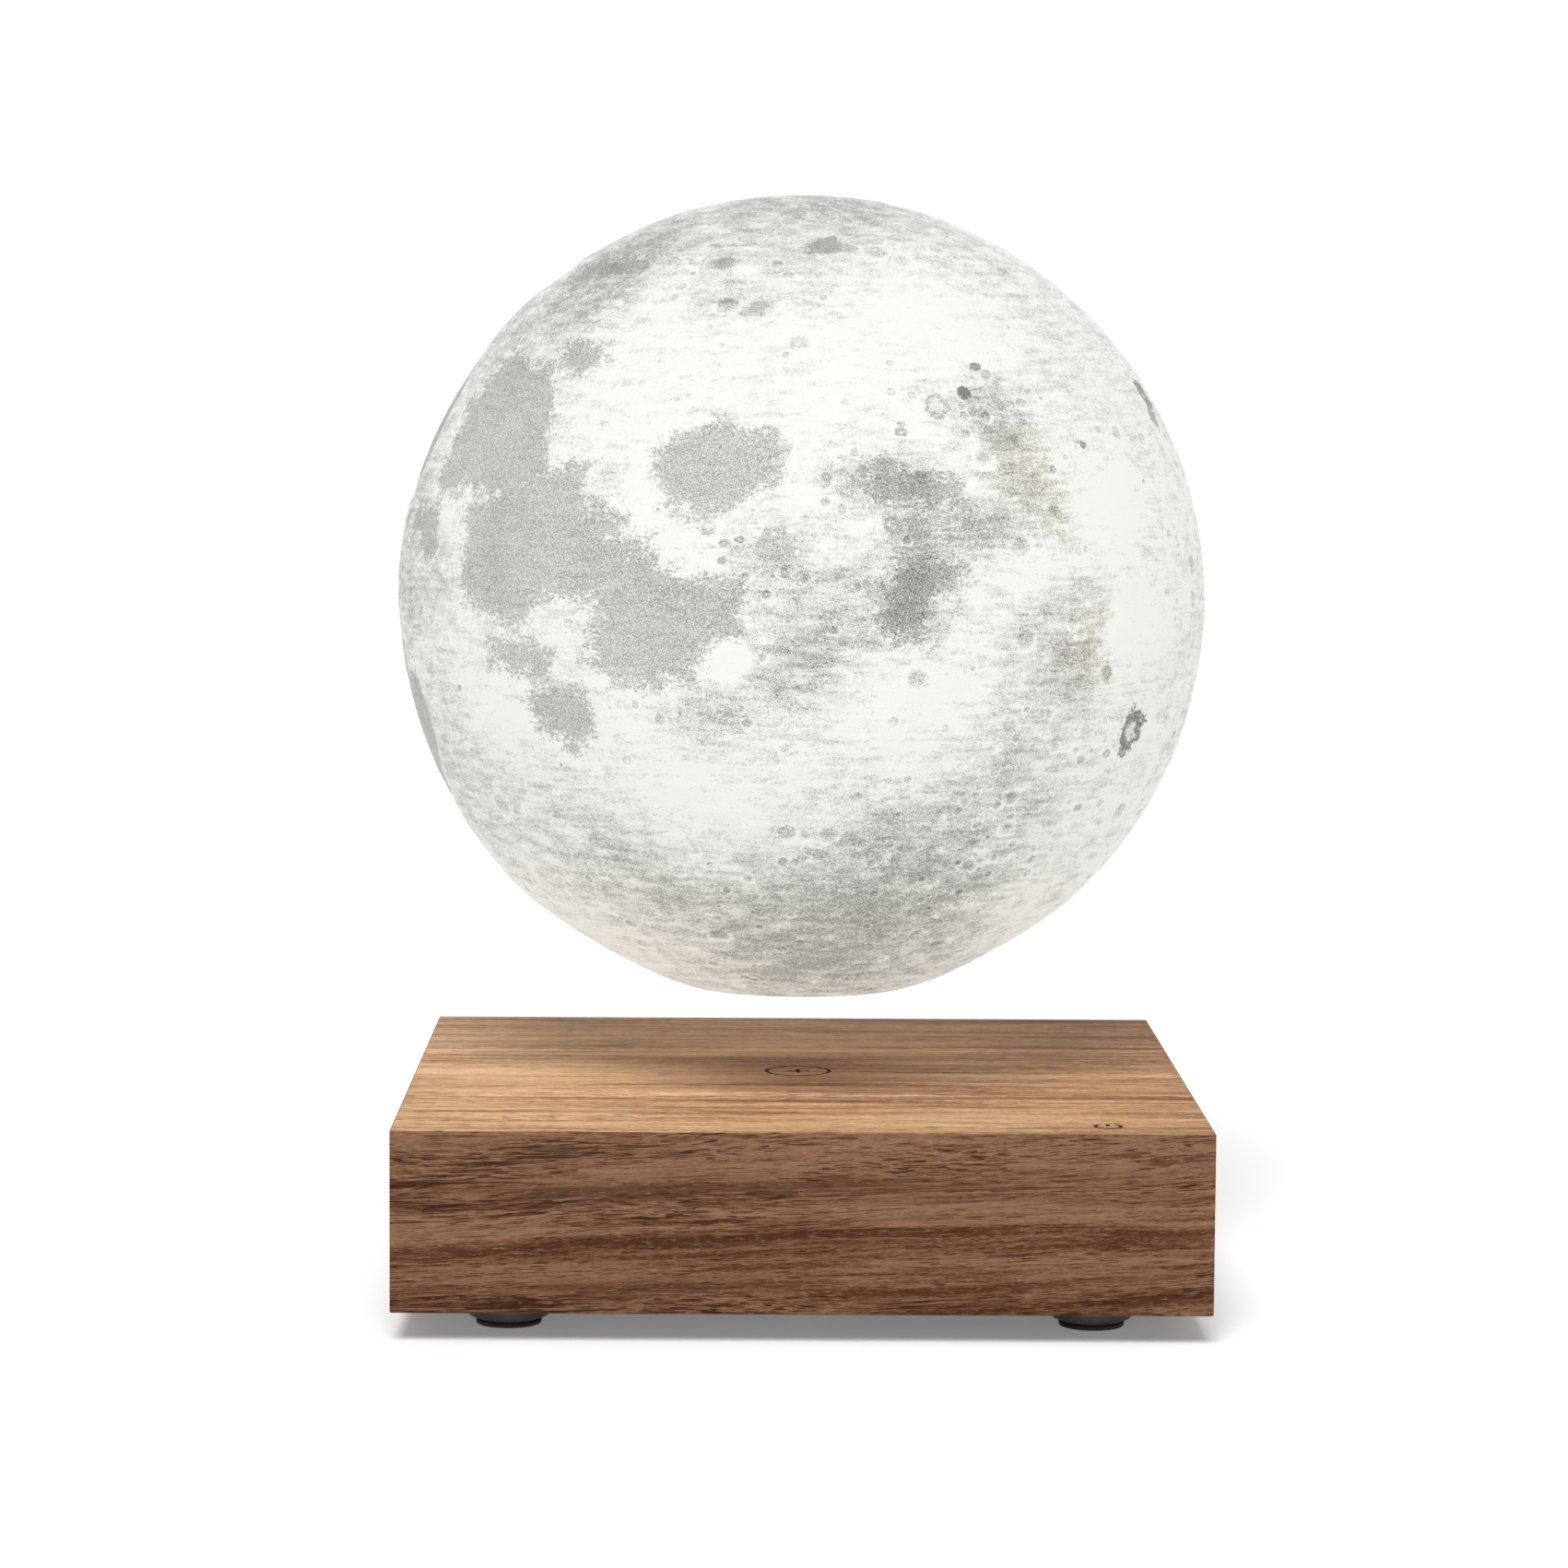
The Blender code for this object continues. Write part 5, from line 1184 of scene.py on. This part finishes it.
class LAMP_OT_side_boards(bpy.types.Operator):
    """Make the four mitred walnut boards, with rounded edges and the socket's hole in the rear one."""

    bl_idname = "lamp.side_boards"
    bl_label = "Side boards"

    def execute(self, context):
        settings = context.scene.lamp_case
        wood, rise, quarter = settings.side_wood, settings.grain_rise, math.radians(90)
        front = self.make_board(settings)
        boards = {"front": front}
        for side, turn in (("right", quarter), ("rear", 2 * quarter), ("left", -quarter)):
            boards[side] = copied(front, f"{side}_board_wood", Matrix.Rotation(turn, 4, "Z"))
        self.drill_socket_hole(boards["rear"])
        stripes = [(FRONT_LOW.y + height, *rest) for height, *rest in FRONT_STRIPES]
        woods = {
            # The front board's fade makes it lighter towards its top: painted shade that darkens it near the
            # floor.
            "front": walnut("walnut_front", wood, 0.31, (0, rise, 0), 1.6, (0, 0, 5), stripes=stripes),
            "right": walnut("walnut_right", wood, 1.7, (0, 0, -quarter)),
            "rear": walnut("walnut_rear", wood, 3.3, (0, -rise, 0)),
            "left": walnut("walnut_left", wood, 5.9, (0, 0, -quarter)),
        }
        for side, board in boards.items():
            finished(board, "base", [f"{side}_board"], woods[side])
        return {"FINISHED"}

    def make_board(self, settings):
        ledge = CASE_TOP - PANEL_LOW.z + TIGHT
        reach = CASE_HALF - TIGHT
        low, high = Vector((-reach, *FRONT_LOW.yz)), Vector((reach, FRONT_HIGH.y, FRONT_HIGH.z - ledge))
        board = box("front_board_wood", low, high)
        bpy.ops.mesh.bisect(plane_co=(0, low.y + ledge, 0), plane_no=(0, 1, 0))
        pick(board, "verts", lambda vert: vert.co.y < low.y + EYE and vert.co.z > high.z - EYE)
        bpy.ops.transform.translate(value=(0, 0, ledge))
        for side in (-1, 1):
            bpy.ops.mesh.select_all(action="SELECT")
            bpy.ops.mesh.bisect(plane_co=(side * high.x, low.y, 0), plane_no=(side, 1, 0),
                                use_fill=True, clear_outer=True)
        for edge_height, size in ((low.z, settings.edge_round), (CASE_TOP, settings.tip_round)):
            pick(board, "edges", lambda edge: all(
                vert.co.y < low.y + EYE and abs(vert.co.z - edge_height) < EYE for vert in edge.verts))
            bpy.ops.mesh.bevel(offset=size, segments=EDGE_SEGMENTS, affect="EDGES")
        close()
        return board

    def drill_socket_hole(self, board):
        height = (SOCKET_LOW.z + SOCKET_HIGH.z) / 2
        carve(board, rod("socket_cutter", SOCKET_HIGH.x + FIT, CASE_HALF / 2, (0, CASE_HALF, height),
                         (math.radians(90), 0, 0), ROUND_SEGMENTS))


class LAMP_OT_top_panel(bpy.types.Operator):
    """Make the top panel, with its rounded rim, the ring with a plus and the power mark."""

    bl_idname = "lamp.top_panel"
    bl_label = "Top panel"

    def execute(self, context):
        settings = context.scene.lamp_case
        reach = CASE_HALF - TIGHT
        panel = box("top_panel_wood", (-reach, -reach, PANEL_LOW.z), (reach, reach, CASE_TOP))
        pick(panel, "faces", lambda face: face.normal.z < -0.5)
        share = 1 - (CASE_TOP - PANEL_LOW.z) / reach
        bpy.ops.transform.resize(value=(share, share, 1), center_override=(0, 0, PANEL_LOW.z))
        pick(panel, "edges", lambda edge: all(vert.co.z > CASE_TOP - EYE for vert in edge.verts))
        bpy.ops.mesh.bevel(offset=settings.panel_round, segments=EDGE_SEGMENTS, affect="EDGES")
        # The top panel's lighter walnut and the lighter stripes near its middle are partly painted light.
        panel.data.materials.append(walnut(
            "walnut_top", settings.top_wood_with_painted_light, 8.2, contrast=1.4, fade=(-2.0, 0, 0), gloss=0.03,
            stripes=[(CASE_TOP + place, *rest) for place, *rest in PANEL_STRIPES_AND_PAINTED_LIGHT]))
        scorched = burnt_mark(settings.engraving)
        ring = engraved_ring("ring_mark", RING_MARK_RADIUS, (0, 0))
        for cutter in (self.plus_mark(), ring, self.power_mark()):
            cutter.data.materials.append(scorched)
            carve(panel, cutter)
        finished(panel, "base", ["top_panel"])
        return {"FINISHED"}

    def stroke(self, name, middle, reach, along):
        """A round-bottomed stroke of the engraving tool, half sunk in the panel."""
        turn = (math.radians(90), 0, 0) if along == "Y" else (0, math.radians(90), 0)
        mark = rod(name, MARK_LINE, 2 * reach, (*middle, CASE_TOP), turn, MARK_RIM_SEGMENTS)
        pick(mark, "faces", lambda face: len(face.verts) > 4)
        bpy.ops.mesh.bevel(offset=MARK_LINE / 2, segments=EDGE_SEGMENTS, affect="EDGES")
        close()
        return mark

    def plus_mark(self):
        across = self.stroke("plus_across", (0, 0), PLUS_MARK_REACH, "X")
        carve(across, self.stroke("plus_upright", (0, 0), PLUS_MARK_REACH, "Y"), operation="UNION")
        return across

    def power_mark(self):
        x, y = POWER_MARK_PLACE
        arc = engraved_ring("power_arc", POWER_MARK_RADIUS, POWER_MARK_PLACE)

        def in_opening(face):
            middle = face.calc_center_median()
            return abs(math.degrees(math.atan2(middle.x - x, middle.y - y))) < POWER_MARK_OPENING_DEG

        cut_away(arc, in_opening)
        bar = self.stroke("power_bar", (x, y + POWER_MARK_RADIUS / 2), POWER_MARK_RADIUS / 2, "Y")
        return joined([arc, bar], "power_mark")


class LAMP_OT_feet(bpy.types.Operator):
    """Make the four feet: flared plastic cups with rubber pads under them."""

    bl_idname = "lamp.feet"
    bl_label = "Feet"

    def execute(self, context):
        settings = context.scene.lamp_case
        place = (CUP_LOW + CUP_HIGH) / 2
        top, bottom = CUP_HIGH.z, CUP_LOW.z
        wide = (CUP_HIGH.x - CUP_LOW.x) / 2
        narrow = (PAD_HIGH.x - PAD_LOW.x) / 2
        cup = turned("foot_cup_pattern", [
            (CUP_BORE, bottom), *rounded((narrow - CUP_LIP, bottom + CUP_LIP), CUP_LIP, -90, 20),
            (narrow + CUP_LIP, bottom + 2 * CUP_LIP),
            *rounded((wide - CUP_BEND, bottom + CUP_FLARE_HEIGHT), CUP_BEND, -50, 0),
            (wide, top - FIT), (wide - FIT, top), (CUP_SCREW_HOLE, top),
            (CUP_SCREW_HOLE, top - CUP_SCREW_SEAT), (CUP_BORE, top - CUP_SCREW_SEAT),
        ], hole=True)
        pad_top, rim = PAD_HIGH.z, PAD_ROUND / 2
        pad = turned("foot_pad_pattern", [
            (narrow / 2, 0), *rounded((narrow - PAD_ROUND, PAD_ROUND), PAD_ROUND, -90, 0),
            *rounded((narrow - rim, pad_top - rim), rim, 0, 90), (narrow / 2, pad_top),
        ])
        patterns = (
            (cup, "foot_cup", "foot_plastic", moulded("foot_plastic", settings.cup_colour, 0.28, 0.42)),
            (pad, "foot_pad", "foot_rubber", moulded("foot_rubber", settings.pad_colour, 0.6, 0.8, 1400)),
        )
        for number, (x, y) in enumerate(((-1, -1), (1, -1), (1, 1), (-1, 1)), 1):
            spot = Matrix.Translation((x * abs(place.x), y * abs(place.y), 0))
            for pattern, node, slot, skin in patterns:
                piece = copied(pattern, f"{node}_{number}_round", spot)
                finished(piece, "base", [f"{node}_{number}"], skin)
        for pattern, *_ in patterns:
            bpy.data.objects.remove(pattern, do_unlink=True)
        return {"FINISHED"}


class LAMP_OT_power_socket(bpy.types.Operator):
    """Make the round power socket and its pin in the rear board."""

    bl_idname = "lamp.power_socket"
    bl_label = "Power socket"

    def execute(self, context):
        height = (SOCKET_LOW.z + SOCKET_HIGH.z) / 2
        facing_back = Matrix.Translation((0, 0, height)) @ Matrix.Rotation(math.radians(-90), 4, "X")
        flange, edge = SOCKET_HIGH.x, CASE_HALF - SOCKET_ROUND
        seat, floor = CASE_HALF - SOCKET_FLANGE_DEPTH, CASE_HALF - SOCKET_BORE_DEPTH
        socket = turned("dc_socket_round", [
            (SOCKET_PIN_HOLE, SOCKET_LOW.y), (SOCKET_BARREL, SOCKET_LOW.y), (SOCKET_BARREL, seat),
            (flange, seat), *rounded((flange - SOCKET_ROUND, edge), SOCKET_ROUND, 0, 90),
            *rounded((SOCKET_BORE + SOCKET_ROUND, edge), SOCKET_ROUND, 90, 180),
            (SOCKET_BORE, floor), (SOCKET_PIN_HOLE, floor),
        ], hole=True)
        socket.data.transform(facing_back)
        finished(socket, "base", ["dc_socket"],
                 moulded("socket_plastic", seen(38, 36, 34), 0.3, 0.45))
        radius = PIN_HIGH.x
        pin = turned("dc_socket_pin_round", [
            (radius, PIN_LOW.y), (radius, PIN_HIGH.y - radius),
            *rounded((PIN_TIP, PIN_HIGH.y - radius), radius - PIN_TIP, 0, 80),
        ], segments=FINE_SEGMENTS)
        pin.data.transform(facing_back)
        finished(pin, "base", ["dc_socket_pin"],
                 worked_metal("pin_steel", seen(190, 190, 186), 0.15, 0.3))
        return {"FINISHED"}


class LAMP_OT_moon(bpy.types.Operator):
    """Make the printed moon: a dense ball with a mouth, a wall, sunk seas and craters."""

    bl_idname = "lamp.moon"
    bl_label = "Moon"

    def execute(self, context):
        settings = context.scene.lamp_moon
        clear_selection()
        bpy.ops.mesh.primitive_uv_sphere_add(
            segments=settings.segments, ring_count=settings.rings, radius=MOON_RADIUS, location=MOON_CENTRE)
        moon = begin("printed_moon")
        bpy.ops.mesh.bisect(plane_co=(0, 0, SHELL_LOW.z), plane_no=(0, 0, 1), clear_inner=True)
        self.add_inner_wall(moon)
        close()
        shape_moon(moon, settings)
        roughen_ground(moon, settings)
        finished(moon, "moon", ["moon_shell"], moon_print(settings), smooth_deg=60)
        return {"FINISHED"}

    def add_inner_wall(self, moon):
        """Extrudes the mouth's rim up into the ball, ring by ring, and closes it at the top."""
        inner = MOON_RADIUS - SHELL_WALL
        start = math.asin(MOUTH_RADIUS / inner)
        turns = [start + (math.pi - start) * ring / INNER_WALL_RINGS for ring in range(INNER_WALL_RINGS)]
        wall = [(inner * math.sin(turn), MOON_CENTRE.z - inner * math.cos(turn)) for turn in turns]
        pick(moon, "edges", lambda edge: len(edge.link_faces) == 1)
        extrude_rings([(MOUTH_RADIUS, SHELL_LOW.z), *wall])
        bpy.ops.mesh.extrude_edges_move(
            TRANSFORM_OT_translate={"value": (0, 0, MOON_CENTRE.z + inner - wall[-1][1])})
        bpy.ops.mesh.merge(type="CENTER")


class LAMP_OT_bottom_cap(bpy.types.Operator):
    """Make the cup that closes the moon's mouth, with its three bayonet tabs and spanner holes."""

    bl_idname = "lamp.bottom_cap"
    bl_label = "Bottom cap"

    def execute(self, context):
        radius = MOUTH_RADIUS - FIT
        floor, rim = CAP_LOW.z + CAP_BASE, CAP_HIGH.z
        wall_outer = radius - CAP_LIP
        wall_inner = wall_outer - CAP_WALL
        cap = turned("moon_cap", [
            (wall_inner, floor), (wall_inner, rim), (wall_outer, rim), (wall_outer, floor), (radius, floor),
            *rounded((radius - CAP_ROUND, CAP_LOW.z + CAP_ROUND), CAP_ROUND, 0, -90),
        ])
        carve(cap, self.bayonet_tabs((wall_inner + wall_outer) / 2), operation="UNION")
        for side in (-1, 1):
            carve(cap, rod("spanner_hole", SPANNER_HOLE_RADIUS, SPANNER_HOLE_RADIUS,
                           (side * SPANNER_HOLE_PLACE, 0, CAP_LOW.z)))
        skin = moulded("cap_plastic", seen(236, 236, 232), 0.5, 0.7)
        finished(cap, "moon", ["bottom_cap"], skin)
        return {"FINISHED"}

    def bayonet_tabs(self, inner):
        """Three short pieces of a ring, at the cup's upper rim."""
        low, high, outer = CAP_HIGH.z - TAB_HEIGHT, CAP_HIGH.z, CAP_HIGH.x
        tabs = turned("bayonet_tabs", [(inner, low), (outer, low), (outer, high), (inner, high)], hole=True)

        def between_tabs(face):
            middle = face.calc_center_median()
            turn = math.degrees(math.atan2(middle.y, middle.x)) % 120
            return TAB_HALF_DEG < turn < 120 - TAB_HALF_DEG

        cut_away(tabs, between_tabs)
        return tabs


class LAMP_OT_inner_parts(bpy.types.Operator):
    """Finish the solids that stay: the cover, the lifting module, the boards, the leads and the light."""

    bl_idname = "lamp.inner_parts"
    bl_label = "Inner parts"

    def execute(self, context):
        wood = walnut("walnut_block", context.scene.lamp_case.side_wood, 12.4, (0, math.radians(90), 0))
        finishes = {
            "corner_block": (wood, "walnut"),
            "bottom_cover": (moulded("cover_plastic", seen(52, 48, 44), 0.55, 0.75, 700), "black_plastic"),
            "foot_screw": (worked_metal("zinc_steel", seen(176, 176, 172), 0.25, 0.4), "screw_steel"),
            "module_screw": (worked_metal("zinc_screw", seen(182, 182, 176), 0.25, 0.4), "screw_steel"),
            "dc_socket_nut": (worked_metal("nut_steel", seen(170, 170, 166), 0.25, 0.45), "screw_steel"),
            "module_housing": (moulded("housing_plastic", seen(40, 38, 36), 0.45, 0.6), "black_plastic"),
            "coil_carrier": (moulded("carrier_plastic", seen(44, 42, 40), 0.45, 0.6), "black_plastic"),
            "ring_magnet": (moulded("ferrite", seen(66, 66, 70), 0.5, 0.7, 1800), "ferrite"),
            "coil_board": (circuit_board(), "circuit_green"),
            "hall_sensor_board": (circuit_board(), "circuit_green"),
            "driver_board": (circuit_board(), "circuit_green"),
            "led_board": (circuit_board(), "circuit_green"),
            "coil_core": (worked_metal("core_steel", seen(168, 168, 168), 0.3, 0.45, (300, 300, 2400)),
                          "core_steel"),
            "coil_bobbin": (moulded("cream_nylon", seen(220, 214, 194), 0.4, 0.55), "cream_nylon"),
            "coil_winding": (wound_wire("winding_wire", 0.0004), "copper_wire"),
            "transmitter_coil": (wound_wire("transmitter_wire", 0.0005), "copper_wire"),
            "receiver_coil": (wound_wire("receiver_wire", 0.0004), "copper_wire"),
            "touch_pad": (worked_metal("copper_foil", seen(196, 120, 78), 0.25, 0.4), "copper_wire"),
            "dc_lead": (moulded("black_jacket", seen(36, 36, 36), 0.45, 0.6), "black_jacket"),
            "touch_lead": (moulded("red_jacket", seen(188, 52, 44), 0.4, 0.55), "red_jacket"),
            "module_lead": (moulded("grey_jacket", seen(206, 206, 202), 0.4, 0.55), "grey_jacket"),
            "float_magnet": (worked_metal("bright_nickel", seen(206, 206, 200), 0.1, 0.22), "bright_nickel"),
            "shell_collar": (moulded("collar_plastic", seen(240, 240, 236), 0.5, 0.7), "moon_print"),
            "heat_sink": (worked_metal("milled_aluminium", seen(200, 202, 204), 0.3, 0.45, (2400, 300, 300)),
                          "bare_aluminium"),
            "light_dome": (frosted_plastic(), "frosted_plastic"),
        }
        for name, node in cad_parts.items():
            family = name.rstrip("0123456789").rstrip("_")
            if not node.hide_render and family in finishes:
                material, slot = finishes[family]
                node.data.materials.clear()
                node.data.materials.append(material)
        return {"FINISHED"}


class LAMP_PT_panel(bpy.types.Panel):
    """The lamp's operators and settings."""

    bl_label = "Moon Lamp"
    bl_idname = "LAMP_PT_panel"
    bl_space_type = "VIEW_3D"
    bl_region_type = "UI"
    bl_category = "Moon Lamp"

    def draw(self, context):
        for operator in OPERATORS:
            self.layout.operator(operator.bl_idname)
        for name, group in SETTINGS.items():
            box_layout = self.layout.box()
            box_layout.label(text=group.__doc__)
            for setting in group.__annotations__:
                box_layout.prop(getattr(context.scene, name), setting)


OPERATORS = (
    LAMP_OT_stage,
    LAMP_OT_side_boards,
    LAMP_OT_top_panel,
    LAMP_OT_feet,
    LAMP_OT_power_socket,
    LAMP_OT_moon,
    LAMP_OT_bottom_cap,
    LAMP_OT_inner_parts,
)


def register():
    for group in SETTINGS.values():
        bpy.utils.register_class(group)
    for name, group in SETTINGS.items():
        setattr(bpy.types.Scene, name, bpy.props.PointerProperty(type=group))
    for operator in OPERATORS:
        bpy.utils.register_class(operator)
    bpy.utils.register_class(LAMP_PT_panel)


def unregister():
    bpy.utils.unregister_class(LAMP_PT_panel)
    for operator in reversed(OPERATORS):
        bpy.utils.unregister_class(operator)
    for name in SETTINGS:
        delattr(bpy.types.Scene, name)
    for group in SETTINGS.values():
        bpy.utils.unregister_class(group)


def main():
    register()
    bpy.ops.lamp.stage()
    bpy.ops.lamp.side_boards()
    bpy.ops.lamp.top_panel()
    bpy.ops.lamp.feet()
    bpy.ops.lamp.power_socket()
    bpy.ops.lamp.moon()
    bpy.ops.lamp.bottom_cap()
    bpy.ops.lamp.inner_parts()


if __name__ == "__main__":
    main()
